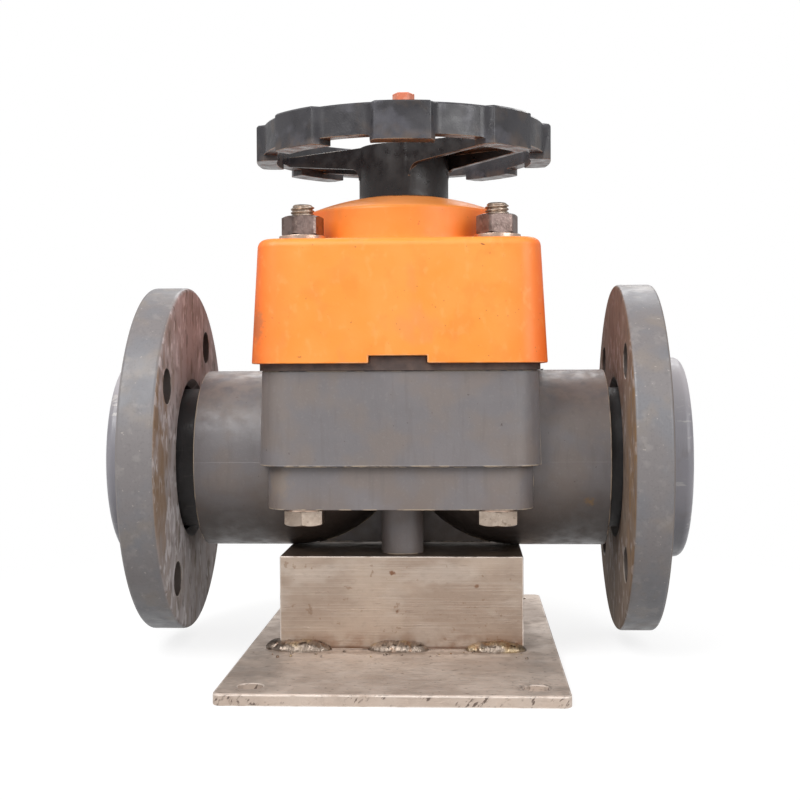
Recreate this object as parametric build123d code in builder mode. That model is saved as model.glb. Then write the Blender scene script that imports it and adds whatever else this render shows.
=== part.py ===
from build123d import *
import os
from math import atan, cos, degrees, radians, sin, sqrt

os.makedirs("parts", exist_ok=True)

# Weir-type diaphragm valve for a 75 mm plastic pipe line, on a welded steel bracket.
# Millimetres. X runs along the pipe line, +Y points away from the notched front, +Z is up.
# The origin is on the underside of the base plate, on the stem's axis.

# Base plate
plate_width = 158.4
plate_front = 145.0
plate_back = 121.5
plate_thickness = 5.5
plate_corner_radius = 4.0
plate_hole_diameter = 11.5
plate_hole_inset = 15.0

# Channel on the base plate, its web upwards
channel_length = 124.0
channel_width = 100.0
channel_height = 47.6
channel_web = 6.0
channel_flange = 6.0
channel_root_radius = 1.5

# Stitch welds at the channel's two feet
weld_leg = 6.5
weld_length = 30.0
weld_pitch = 49.5
weld_shift = -1.5
weld_count = 3

# Screws that hold the valve on the channel
mount_screw_diameter = 8.0
mount_screw_grip = 13.0
mount_head_diameter = 13.0
mount_head_height = 8.0
mount_socket_flats = 6.0
mount_socket_depth = 4.5
mount_washer_diameter = 16.0
mount_washer_thickness = 1.6
mount_hole_diameter = 9.0
insert_diameter = 12.0
insert_length = 16.0

# Valve body
boss_spacing = 66.0
boss_diameter = 21.8
tube_stand = 0.3
tube_diameter = 94.3
tube_end = 107.0
bore_diameter = 65.0
socket_depth = 44.0
block_rise = 47.0
block_foot_drop = 0.5
block_spread = 1.25
block_corner_radius = 16.0
skirt_step = 3.85
skirt_drop = 22.4
skirt_corner_radius = 14.0
turn_centre_x = 60.0
turn_centre_rise = 17.25
web_thickness = 14.0
web_half_length = 46.0
web_rise = 1.65
crest_squeeze = 0.3
bowl_diameter = 84.0

# Pipe-side flange adaptors
pipe_diameter = 75.0
collar_diameter = 107.0
collar_thickness = 15.2
collar_round = 4.0
adaptor_left_stand = 3.7
gasket_groove_count = 3
gasket_groove_pitch = 4.0
gasket_groove_width = 1.2
gasket_groove_depth = 0.8

# Loose backing flanges
flange_diameter = 185.0
flange_thickness = 19.0
flange_inner_face = 113.0
flange_bore_diameter = 79.0
flange_bore_chamfer = 3.5
flange_edge_round = 2.0
flange_pcd = 145.0
flange_hole_diameter = 18.0
flange_hole_count = 4
flange_left_turn = 57.0
flange_right_turn = 45.0

# Diaphragm
clamp_thickness = 3.5
clamp_overhang = 1.05
clamp_corner_radius = 15.0
membrane_thickness = 4.0
rubber_boss_diameter = 22.0
rubber_boss_height = 5.5
sealing_rib_width = 4.0
sealing_rib_height = 0.8
tab_width = 28.0
tab_height = 3.4
tab_depth = 4.0
stud_diameter = 8.0
stud_head_diameter = 14.0
stud_head_thickness = 2.5
stud_head_rise = 1.2
stud_reach = 10.5

# Bonnet
bonnet_foot_width = 148.0
bonnet_overhang = 3.5
bonnet_height = 62.1
bonnet_draft = 3.29
bonnet_corner_radius = 15.0
bonnet_top_round = 4.5
bonnet_wall = 7.0
bonnet_roof = 11.0
dome_washer_gap = 4.58
dome_side = 17.8
dome_top_diameter = 51.0
dome_rise = 8.2
dome_bulge = 0.75
dome_edge_round = 2.0
notch_width = 29.0
notch_height = 3.7
cavity_diameter = 75.0
cavity_height = 54.0
clamp_ring_width = 8.0
bolt_boss_diameter = 28.0
guide_slot_width = 12.0
guide_slot_diameter = 84.0

# Compressor
compressor_sole_radius = 35.0
compressor_diameter = 64.0
compressor_rib = 12.0
compressor_height = 25.0
compressor_neck_diameter = 30.0
lug_diameter = 80.0
lug_height = 12.0
lug_margin = 2.8
pin_diameter = 5.0
pin_rise = 30.0

# Stem and position indicator; the travel takes the diaphragm from open to the weir
travel = 26.0
stem_diameter = 16.0
stem_foot_rise = 19.0
stem_top_rise = 113.0
indicator_diameter = 11.9
indicator_reach = 36.8
indicator_flat_depth = 0.5
spigot_diameter = 6.0
spigot_length = 8.0

# Threaded bush and its bearing in the bonnet
bush_diameter = 26.0
bush_flange_diameter = 40.0
bush_flange_thickness = 5.0
bush_sleeve_length = 10.0
thrust_washer_thickness = 1.5
hex_flats = 22.0
bush_neck_diameter = 20.0
bush_neck_length = 4.0
neck_wall_height = 10.0
pocket_diameter = 43.0
bonnet_ring_thickness = 1.8
bonnet_ring_width = 3.5
bonnet_ring_groove = 1.5
bush_seal_section = 2.5

# Handwheel
wheel_diameter = 158.6
lobe_count = 8
lobe_turn = 2.2
lobe_step = 3.5
lobe_width = 28.0
lobe_ramp = 2.0
rim_width = 7.3
rim_height = 16.0
lobe_height = 19.0
rim_edge_bevel = 1.0
hub_diameter = 48.2
hub_height = 28.0
rim_top_rise = 10.9
spoke_angle = -33.0
spoke_hub_width = 38.0
spoke_rim_width = 34.0
spoke_wall = 3.5
spoke_plate = 3.5
spoke_hub_drop = 11.5
spoke_rim_drop = 5.0
spoke_foot_round = 6.0
hub_core_diameter = 36.0
hub_wall = 4.0
hub_core_depth = 14.0
cap_diameter = 30.0
cap_thickness = 2.5
wheel_ring_thickness = 1.2
wheel_ring_groove = 1.0
wheel_ring_width = 4.0
wheel_ring_gap = 8.0

# M12 bonnet bolts with old-pattern 19 mm hexagons
bolt_inset = 24.8
bolt_diameter = 12.0
bolt_hole_diameter = 13.2
bolt_head_flats = 19.0
bolt_head_height = 7.5
bolt_tail = 5.9
nut_height = 10.0
nut_turn = 13.0
washer_diameter = 24.0
washer_thickness = 2.5
head_washer_diameter = 20.0
head_washer_thickness = 1.6
spot_clearance = 1.0

# Clearances
running = 0.05
glue_gap = 0.15
slip = 0.3
ring_play = 0.3
wheel_gap = 0.3

# Levels along the stem, each from the one below
channel_top = plate_thickness + channel_height
pipe_level = channel_top + tube_stand + tube_diameter / 2
skirt_level = pipe_level - skirt_drop
clamp_level = pipe_level + block_rise
bonnet_level = clamp_level + clamp_thickness
roof_level = bonnet_level + bonnet_height
dome_shoulder = roof_level + dome_side
dome_level = dome_shoulder + dome_rise
membrane_top = clamp_level + membrane_thickness
sole_level = membrane_top + slip
hub_level = dome_level + wheel_gap
hub_top = hub_level + hub_height
rim_top = hub_top + rim_top_rise
ceiling_level = dome_level - neck_wall_height
stem_top = clamp_level + stem_top_rise
stem_foot = clamp_level + stem_foot_rise
lug_level = bonnet_level + travel + lug_margin
neck_top = lug_level + lug_height

# Widths of the stack, each from the one above, and the bolts and dome inside them
clamp_width = bonnet_foot_width - 2 * bonnet_overhang
block_top_width = clamp_width - 2 * clamp_overhang
block_foot_width = block_top_width + 2 * block_spread
skirt_width = block_foot_width - 2 * skirt_step
bolt_spacing = bonnet_foot_width - 2 * bolt_inset
dome_diameter = sqrt(2) * bolt_spacing - washer_diameter - 2 * dome_washer_gap

# Shared radii
bore_radius = bore_diameter / 2
tube_radius = tube_diameter / 2
bowl_radius = bowl_diameter / 2
crest_rise = block_rise - travel - sealing_rib_height + crest_squeeze
bowl_depth = block_rise - crest_rise
bowl_sphere_radius = (bowl_radius**2 + bowl_depth**2) / (2 * bowl_depth)
socket_radius = pipe_diameter / 2 + glue_gap
socket_floor = tube_end - socket_depth
collar_back = flange_inner_face + flange_thickness + ring_play
collar_face = collar_back + collar_thickness
wheel_radius = wheel_diameter / 2
rim_outer_radius = wheel_radius - lobe_step
rim_inner_radius = rim_outer_radius - rim_width


# Base plate with its four floor bolts
with BuildPart() as base_plate:
    plate_middle_y = (plate_back - plate_front) / 2
    plate_depth = plate_front + plate_back
    with BuildSketch() as plate_plan:
        with Locations((0, plate_middle_y)):
            RectangleRounded(plate_width, plate_depth, plate_corner_radius)
            with GridLocations(plate_width - 2 * plate_hole_inset, plate_depth - 2 * plate_hole_inset, 2, 2):
                Circle(plate_hole_diameter / 2, mode=Mode.SUBTRACT)
    extrude(amount=plate_thickness)
    chamfer(base_plate.faces().sort_by(Axis.Z)[-1].outer_wire().edges(), 0.5)


# Channel, open at both ends
with BuildPart() as bracket_channel:
    with BuildSketch(Plane.YZ.offset(-channel_length / 2)) as channel_section:
        with Locations((0, plate_thickness + channel_height / 2)):
            Rectangle(channel_width, channel_height)
        with BuildSketch(mode=Mode.PRIVATE) as channel_inside:
            with Locations((0, plate_thickness + (channel_height - channel_web) / 2)):
                Rectangle(channel_width - 2 * channel_flange, channel_height - channel_web)
            fillet(channel_inside.vertices().group_by(Axis.Y)[-1], channel_root_radius)
        add(channel_inside.sketch, mode=Mode.SUBTRACT)
    extrude(amount=channel_length)
    with Locations(Plane.XY.offset(channel_top)):
        with GridLocations(0, boss_spacing, 1, 2):
            Hole(mount_hole_diameter / 2)


# Stitch welds in the corner between channel and plate, front and back
with BuildPart() as weld_beads:
    for side in (-1, 1):
        for stitch in range(weld_count):
            weld_x = weld_shift + (stitch - (weld_count - 1) / 2) * weld_pitch - weld_length / 2
            with BuildSketch(Plane.YZ.offset(weld_x)):
                with BuildLine():
                    root = (side * channel_width / 2, plate_thickness)
                    toe = (side * (channel_width / 2 + weld_leg), plate_thickness)
                    shoulder = (side * channel_width / 2, plate_thickness + weld_leg)
                    middle = (side * (channel_width / 2 + 0.6 * weld_leg), plate_thickness + 0.6 * weld_leg)
                    Line(root, toe)
                    ThreePointArc(toe, middle, shoulder)
                    Line(shoulder, root)
                make_face()
            extrude(amount=weld_length)


# Cap screws up through the channel's web into the valve's inserts
screw_seat = channel_top - channel_web - mount_washer_thickness
with BuildPart() as bracket_screws:
    with BuildSketch(Plane.XY.offset(screw_seat - mount_head_height)):
        with GridLocations(0, boss_spacing, 1, 2):
            Circle(mount_head_diameter / 2)
    extrude(amount=mount_head_height)
    with BuildSketch(Plane.XY.offset(screw_seat)):
        with GridLocations(0, boss_spacing, 1, 2):
            Circle(mount_screw_diameter / 2)
    extrude(amount=mount_washer_thickness + channel_web + mount_screw_grip)
    with BuildSketch(Plane.XY.offset(screw_seat - mount_head_height)):
        with GridLocations(0, boss_spacing, 1, 2):
            RegularPolygon(mount_socket_flats / 2, 6, major_radius=False)
    extrude(amount=mount_socket_depth, mode=Mode.SUBTRACT)

with BuildPart() as bracket_washers:
    with BuildSketch(Plane.XY.offset(screw_seat)):
        with GridLocations(0, boss_spacing, 1, 2):
            Circle(mount_washer_diameter / 2)
            Circle(mount_hole_diameter / 2, mode=Mode.SUBTRACT)
    extrude(amount=mount_washer_thickness)

with BuildPart() as mounting_inserts:
    with BuildSketch(Plane.XY.offset(channel_top)):
        with GridLocations(0, boss_spacing, 1, 2):
            Circle(insert_diameter / 2)
            Circle(mount_screw_diameter / 2 + running, mode=Mode.SUBTRACT)
    extrude(amount=insert_length)


# Valve body: a tube that climbs to a saddle-shaped weir under the diaphragm
with BuildPart() as valve_body:
    # Outside of the two pipe ends, and of the passages' turned-up floors
    with BuildSketch(Plane.YZ.offset(turn_centre_x)):
        with Locations((0, pipe_level)):
            Circle(tube_radius)
    extrude(amount=tube_end - turn_centre_x)
    with BuildSketch(Plane.YZ.offset(turn_centre_x)) as outer_turn:
        with Locations((0, pipe_level)):
            Circle(tube_radius)
        with Locations((0, pipe_level + turn_centre_rise)):
            Rectangle(2 * tube_diameter, tube_diameter, align=(Align.CENTER, Align.MIN), mode=Mode.SUBTRACT)
    turn_axis = Axis((turn_centre_x, 0, pipe_level + turn_centre_rise), (0, 1, 0))
    revolve(axis=turn_axis, revolution_arc=90)
    mirror(about=Plane.YZ)

    # Upper block with its draft, and the narrower skirt below the step
    block_height = block_rise + block_foot_drop
    block_draft = degrees(atan((block_foot_width - block_top_width) / 2 / block_height))
    with BuildSketch(Plane.XY.offset(pipe_level - block_foot_drop)):
        RectangleRounded(block_foot_width, block_foot_width, block_corner_radius)
    extrude(amount=block_height, taper=block_draft)
    with BuildSketch(Plane.XY.offset(skirt_level)):
        RectangleRounded(skirt_width, skirt_width, skirt_corner_radius)
    extrude(amount=skirt_drop - block_foot_drop)

    # Web under the weir, and the cross rib with its two mounting bosses
    web_drop = tube_radius - web_rise
    with BuildSketch(Plane.XY.offset(pipe_level - web_drop)):
        Rectangle(2 * web_half_length, web_thickness)
        Rectangle(web_thickness, boss_spacing)
    extrude(amount=web_drop)
    with BuildSketch(Plane.XY.offset(channel_top)):
        with GridLocations(0, boss_spacing, 1, 2):
            Circle(boss_diameter / 2)
    extrude(amount=skirt_level - channel_top)

    # Bore, sockets and turned-up passages
    with BuildSketch(Plane.YZ.offset(turn_centre_x)):
        with Locations((0, pipe_level)):
            Circle(bore_radius)
    port_bore = extrude(amount=tube_end - turn_centre_x, mode=Mode.SUBTRACT)
    with BuildSketch(Plane.YZ.offset(socket_floor)):
        with Locations((0, pipe_level)):
            Circle(socket_radius)
    port_socket = extrude(amount=socket_depth, mode=Mode.SUBTRACT)
    with BuildSketch(Plane.YZ.offset(turn_centre_x)):
        with Locations((0, pipe_level)):
            Circle(bore_radius)
        with Locations((0, pipe_level + turn_centre_rise)):
            Rectangle(2 * bore_diameter, bore_diameter, align=(Align.CENTER, Align.MIN), mode=Mode.SUBTRACT)
    port_turn = revolve(axis=turn_axis, revolution_arc=90, mode=Mode.SUBTRACT)
    with BuildSketch(Plane.YZ.offset(turn_centre_x - turn_centre_rise)):
        with Locations((0, pipe_level)):
            Circle(bore_radius)
        with Locations((0, pipe_level + turn_centre_rise)):
            Rectangle(2 * bore_diameter, bore_diameter, align=(Align.CENTER, Align.MAX), mode=Mode.SUBTRACT)
    port_roof = extrude(amount=turn_centre_rise, mode=Mode.SUBTRACT)
    with BuildSketch(Plane.XY.offset(pipe_level + turn_centre_rise)):
        with Locations((turn_centre_x - turn_centre_rise, 0)):
            Circle(bore_radius)
        Circle(bowl_radius, mode=Mode.INTERSECT)
    port_throat = extrude(amount=block_rise - turn_centre_rise, mode=Mode.SUBTRACT)
    mirror(port_bore, about=Plane.YZ, mode=Mode.SUBTRACT)
    mirror(port_socket, about=Plane.YZ, mode=Mode.SUBTRACT)
    mirror(port_turn, about=Plane.YZ, mode=Mode.SUBTRACT)
    mirror(port_roof, about=Plane.YZ, mode=Mode.SUBTRACT)
    mirror(port_throat, about=Plane.YZ, mode=Mode.SUBTRACT)

    # Dished bowl that leaves the weir's crest
    with Locations((0, 0, pipe_level + crest_rise + bowl_sphere_radius)):
        Sphere(bowl_sphere_radius, mode=Mode.SUBTRACT)

    # Flat under the clamped plate where the tube's top would stand proud
    with BuildSketch(Plane.XY.offset(clamp_level)):
        Rectangle(bonnet_foot_width + 2 * slip, bonnet_foot_width)
    extrude(amount=tube_radius, mode=Mode.SUBTRACT)

    # Bolt holes with spot faces for the heads' washers, and seats for the inserts
    with Locations(Plane.XY.offset(clamp_level)):
        with GridLocations(bolt_spacing, bolt_spacing, 2, 2):
            Hole(bolt_hole_diameter / 2)
    with BuildSketch(Plane.XY.offset(skirt_level)):
        with GridLocations(bolt_spacing, bolt_spacing, 2, 2):
            Circle(washer_diameter / 2 + spot_clearance)
    extrude(amount=-head_washer_thickness - bolt_head_height - spot_clearance, mode=Mode.SUBTRACT)
    with BuildSketch(Plane.XY.offset(channel_top)):
        with GridLocations(0, boss_spacing, 1, 2):
            Circle(insert_diameter / 2 + glue_gap)
    extrude(amount=insert_length, mode=Mode.SUBTRACT)


# Flange adaptors: a spigot glued into the body, its stand away from the socket's floor, and a collar
def flange_adaptor(side, stand):
    spigot_end = side * (socket_floor + stand)
    neck_end = side * (collar_back + stand)
    face = side * (collar_face + stand)
    with BuildPart() as adaptor:
        with BuildSketch(Plane.XZ) as adaptor_section:
            with BuildLine():
                Polyline(
                    (spigot_end, pipe_level + bore_radius),
                    (spigot_end, pipe_level + pipe_diameter / 2),
                    (neck_end, pipe_level + pipe_diameter / 2),
                    (neck_end, pipe_level + collar_diameter / 2),
                    (face, pipe_level + collar_diameter / 2),
                    (face, pipe_level + bore_radius),
                    close=True,
                )
            make_face()
            rim_corner = adaptor_section.vertices().group_by(Axis.Y)[-1].sort_by(Axis.X)
            fillet(rim_corner[-1 if side > 0 else 0], collar_round)
            for groove in range(gasket_groove_count):
                groove_radius = (bore_radius + collar_diameter / 2) / 2
                groove_radius += (groove - (gasket_groove_count - 1) / 2) * gasket_groove_pitch
                with Locations((face, pipe_level + groove_radius)):
                    Rectangle(2 * gasket_groove_depth, gasket_groove_width, mode=Mode.SUBTRACT)
        revolve(axis=Axis((0, 0, pipe_level), (1, 0, 0)))
    return adaptor


flange_adaptor_left = flange_adaptor(-1, adaptor_left_stand)
flange_adaptor_right = flange_adaptor(1, 0)


# Backing flanges: loose rings that turn on the adaptors' necks to meet the line's bolt holes
def backing_flange(side, stand, turn):
    near = flange_inner_face + stand
    far = near + flange_thickness
    with BuildPart() as flange:
        with BuildSketch(Plane.XZ) as flange_section:
            with BuildLine():
                Polyline(
                    (side * near, pipe_level + flange_bore_diameter / 2 + flange_bore_chamfer),
                    (side * near, pipe_level + flange_diameter / 2),
                    (side * far, pipe_level + flange_diameter / 2),
                    (side * far, pipe_level + flange_bore_diameter / 2),
                    (side * (near + flange_bore_chamfer), pipe_level + flange_bore_diameter / 2),
                    close=True,
                )
            make_face()
            fillet(flange_section.vertices().group_by(Axis.Y)[-1], flange_edge_round)
        revolve(axis=Axis((0, 0, pipe_level), (1, 0, 0)))
        with BuildSketch(Plane.YZ.offset(side * near)):
            with Locations((0, pipe_level)):
                with PolarLocations(flange_pcd / 2, flange_hole_count, start_angle=turn):
                    Circle(flange_hole_diameter / 2)
        extrude(amount=side * flange_thickness, mode=Mode.SUBTRACT)
    return flange


backing_flange_left = backing_flange(-1, adaptor_left_stand, flange_left_turn)
backing_flange_right = backing_flange(1, 0, flange_right_turn)


# Diaphragm: a square rubber plate with a thicker membrane, a boss for its stud and a front tab
stud_head_level = membrane_top + stud_head_rise
with BuildPart() as diaphragm:
    with BuildSketch(Plane.XY.offset(clamp_level)):
        RectangleRounded(clamp_width, clamp_width, clamp_corner_radius)
        with GridLocations(bolt_spacing, bolt_spacing, 2, 2):
            Circle(bolt_hole_diameter / 2, mode=Mode.SUBTRACT)
    extrude(amount=clamp_thickness)
    with BuildSketch(Plane.XY.offset(clamp_level)):
        Circle(cavity_diameter / 2 - slip)
    extrude(amount=membrane_thickness)
    with BuildSketch(Plane.XY.offset(membrane_top)):
        Circle(rubber_boss_diameter / 2)
    extrude(amount=rubber_boss_height)
    with BuildSketch(Plane.XY.offset(clamp_level - sealing_rib_height)) as rib_plan:
        SlotOverall(bowl_diameter - 2 * sealing_rib_width, sealing_rib_width, rotation=90)
    extrude(amount=sealing_rib_height)
    with BuildSketch(Plane.XY.offset(bonnet_level)):
        with Locations((0, -clamp_width / 2)):
            Rectangle(tab_width, tab_depth, align=(Align.CENTER, Align.MIN))
    extrude(amount=tab_height)
    # Pocket that holds the stud's head, and the stud's way out
    with BuildSketch(Plane.XY.offset(stud_head_level - slip)):
        Circle(stud_head_diameter / 2 + slip)
    extrude(amount=stud_head_thickness + 2 * slip, mode=Mode.SUBTRACT)
    with BuildSketch(Plane.XY.offset(stud_head_level)):
        Circle(stud_diameter / 2 + slip)
    extrude(amount=rubber_boss_height, mode=Mode.SUBTRACT)

with BuildPart() as diaphragm_stud:
    with BuildSketch(Plane.XY.offset(stud_head_level)):
        Circle(stud_head_diameter / 2)
    extrude(amount=stud_head_thickness)
    with BuildSketch(Plane.XY.offset(stud_head_level + stud_head_thickness)):
        Circle(stud_diameter / 2)
    extrude(amount=stud_reach)


# Compressor: a ribbed plug with a round sole, guided by two lugs, that pushes the diaphragm down
with BuildPart() as compressor:
    sole_centre = sole_level + compressor_sole_radius
    with BuildSketch(Plane.XZ) as compressor_section:
        with BuildLine():
            sole_edge_x = compressor_diameter / 2
            sole_edge_z = sole_centre - sqrt(compressor_sole_radius**2 - sole_edge_x**2)
            sole_mid = radians(45)
            sole_mid_point = (
                compressor_sole_radius * sin(sole_mid),
                sole_centre - compressor_sole_radius * cos(sole_mid),
            )
            ThreePointArc((0, sole_level), sole_mid_point, (sole_edge_x, sole_edge_z))
            Polyline(
                (sole_edge_x, sole_edge_z),
                (sole_edge_x, sole_level + compressor_height),
                (0, sole_level + compressor_height),
                (0, sole_level),
            )
        make_face()
    revolve(axis=Axis.Z)
    with BuildSketch(Plane.XY.offset(sole_level)) as rib_cross:
        Rectangle(compressor_diameter, compressor_rib)
        Rectangle(compressor_rib, compressor_diameter)
        Rectangle(compressor_diameter, compressor_rib / 2, rotation=45)
        Rectangle(compressor_diameter, compressor_rib / 2, rotation=-45)
        Circle(compressor_neck_diameter / 2)
    extrude(amount=compressor_height, mode=Mode.INTERSECT)
    with BuildSketch(Plane.XY.offset(sole_level + compressor_height)):
        Circle(compressor_neck_diameter / 2)
    extrude(amount=neck_top - sole_level - compressor_height)
    with BuildSketch(Plane.XY.offset(lug_level)):
        Rectangle(lug_diameter, guide_slot_width - 2 * slip)
        Circle(lug_diameter / 2, mode=Mode.INTERSECT)
        Circle(compressor_neck_diameter / 2, mode=Mode.SUBTRACT)
    extrude(amount=lug_height)
    # Recess for the rubber boss, stud hole, stem socket and cross hole
    with BuildSketch(Plane.XY.offset(sole_level)):
        Circle(rubber_boss_diameter / 2 + slip)
    extrude(amount=rubber_boss_height, mode=Mode.SUBTRACT)
    with BuildSketch(Plane.XY.offset(sole_level)):
        Circle(stud_diameter / 2 + running)
    extrude(amount=stem_foot - sole_level, mode=Mode.SUBTRACT)
    with BuildSketch(Plane.XY.offset(stem_foot)):
        Circle(stem_diameter / 2 + running)
    extrude(amount=neck_top - stem_foot, mode=Mode.SUBTRACT)
    with BuildSketch(Plane.XZ.offset(-compressor_neck_diameter / 2)):
        with Locations((0, clamp_level + pin_rise)):
            Circle(pin_diameter / 2 + running)
    extrude(amount=compressor_neck_diameter, mode=Mode.SUBTRACT)


# Stem with its cross hole and the tapped end for the indicator
with BuildPart() as stem:
    with BuildSketch(Plane.XY.offset(stem_foot)):
        Circle(stem_diameter / 2)
    extrude(amount=stem_top - stem_foot)
    with BuildSketch(Plane.XY.offset(stem_top)):
        Circle(spigot_diameter / 2 + running)
    extrude(amount=-spigot_length - slip, mode=Mode.SUBTRACT)
    with BuildSketch(Plane.XZ.offset(-stem_diameter / 2)):
        with Locations((0, clamp_level + pin_rise)):
            Circle(pin_diameter / 2 + running)
    extrude(amount=stem_diameter, mode=Mode.SUBTRACT)

with BuildPart() as compressor_pin:
    with BuildSketch(Plane.XZ.offset(-compressor_neck_diameter / 2 + slip)):
        with Locations((0, clamp_level + pin_rise)):
            Circle(pin_diameter / 2)
    extrude(amount=compressor_neck_diameter - 2 * slip)

with BuildPart() as position_indicator:
    with BuildSketch(Plane.XY.offset(stem_top)):
        Circle(indicator_diameter / 2)
        for turn in (0, 60, 120):
            Rectangle(
                2 * indicator_diameter,
                indicator_diameter - 2 * indicator_flat_depth,
                rotation=turn,
                mode=Mode.INTERSECT,
            )
    extrude(amount=indicator_reach)
    chamfer(position_indicator.faces().sort_by(Axis.Z)[-1].edges(), 0.4)
    with BuildSketch(Plane.XY.offset(stem_top)):
        Circle(spigot_diameter / 2)
    extrude(amount=-spigot_length)


# Threaded bush: a collar under the bonnet's ceiling, a round neck through it, a hexagon in the hub
collar_top = ceiling_level - thrust_washer_thickness
collar_foot = collar_top - bush_flange_thickness
cap_level = hub_top - cap_thickness
ring_level = cap_level - bush_neck_length
with BuildPart() as thread_bush:
    with BuildSketch(Plane.XY.offset(collar_foot)):
        Circle(bush_flange_diameter / 2)
    extrude(amount=bush_flange_thickness)
    with BuildSketch(Plane.XY.offset(collar_foot - bush_sleeve_length)):
        Circle(bush_diameter / 2)
    extrude(amount=hub_level - collar_foot + bush_sleeve_length)
    with BuildSketch(Plane.XY.offset(hub_level)):
        RegularPolygon(hex_flats / 2, 6, major_radius=False)
        Circle(bush_diameter / 2, mode=Mode.INTERSECT)
    extrude(amount=ring_level - hub_level)
    with BuildSketch(Plane.XY.offset(ring_level)):
        Circle(bush_neck_diameter / 2)
    extrude(amount=bush_neck_length - slip)
    with BuildSketch(Plane.XY.offset(ring_level)):
        Circle(bush_neck_diameter / 2)
        Circle(bush_neck_diameter / 2 - wheel_ring_groove, mode=Mode.SUBTRACT)
    extrude(amount=wheel_ring_thickness, mode=Mode.SUBTRACT)
    with BuildSketch(Plane.XY.offset(collar_foot - bush_sleeve_length)):
        Circle(stem_diameter / 2 + running)
    extrude(amount=hub_top - collar_foot + bush_sleeve_length, mode=Mode.SUBTRACT)

with BuildPart() as thrust_washer_upper:
    with BuildSketch(Plane.XY.offset(collar_top)):
        Circle(bush_flange_diameter / 2)
        Circle(bush_diameter / 2 + slip, mode=Mode.SUBTRACT)
    extrude(amount=thrust_washer_thickness)

with BuildPart() as thrust_washer_lower:
    with BuildSketch(Plane.XY.offset(collar_foot - thrust_washer_thickness)):
        Circle(bush_flange_diameter / 2)
        Circle(bush_diameter / 2 + slip, mode=Mode.SUBTRACT)
    extrude(amount=thrust_washer_thickness)

# Internal retaining ring under the lower thrust washer, open at its gap
bonnet_ring_top = collar_foot - thrust_washer_thickness
ring_outer_radius = pocket_diameter / 2 + bonnet_ring_groove - slip
with BuildPart() as retaining_ring:
    with BuildSketch(Plane.XY.offset(bonnet_ring_top - bonnet_ring_thickness)):
        Circle(ring_outer_radius)
        Circle(ring_outer_radius - bonnet_ring_width, mode=Mode.SUBTRACT)
        with Locations((0, -ring_outer_radius)):
            Rectangle(bonnet_ring_width, 4 * bonnet_ring_width, mode=Mode.SUBTRACT)
    extrude(amount=bonnet_ring_thickness)

# Round seal between the bush's neck and the bonnet
seal_radius = bush_diameter / 2 + running + bush_seal_section / 2
seal_level = ceiling_level + neck_wall_height / 2
with BuildPart() as bush_seal:
    with BuildSketch(Plane.XZ):
        with Locations((seal_radius, seal_level)):
            Circle(bush_seal_section / 2)
    revolve(axis=Axis.Z)

# Open ring on the bush's neck that keeps the handwheel down
wheel_ring_radius = bush_neck_diameter / 2 - wheel_ring_groove + wheel_ring_width
with BuildPart() as wheel_ring:
    with BuildSketch(Plane.XY.offset(ring_level)):
        Circle(wheel_ring_radius)
        Circle(bush_neck_diameter / 2 - wheel_ring_groove + running, mode=Mode.SUBTRACT)
        with Locations((wheel_ring_radius, 0)):
            Rectangle(3 * wheel_ring_width, wheel_ring_gap, mode=Mode.SUBTRACT)
    extrude(amount=wheel_ring_thickness)

# Cap over the bush and the ring, with the indicator's way out
with BuildPart() as hub_cap:
    with BuildSketch(Plane.XY.offset(cap_level)):
        Circle(cap_diameter / 2 - glue_gap)
        Circle(indicator_diameter / 2 + slip, mode=Mode.SUBTRACT)
    extrude(amount=cap_thickness)


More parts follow.
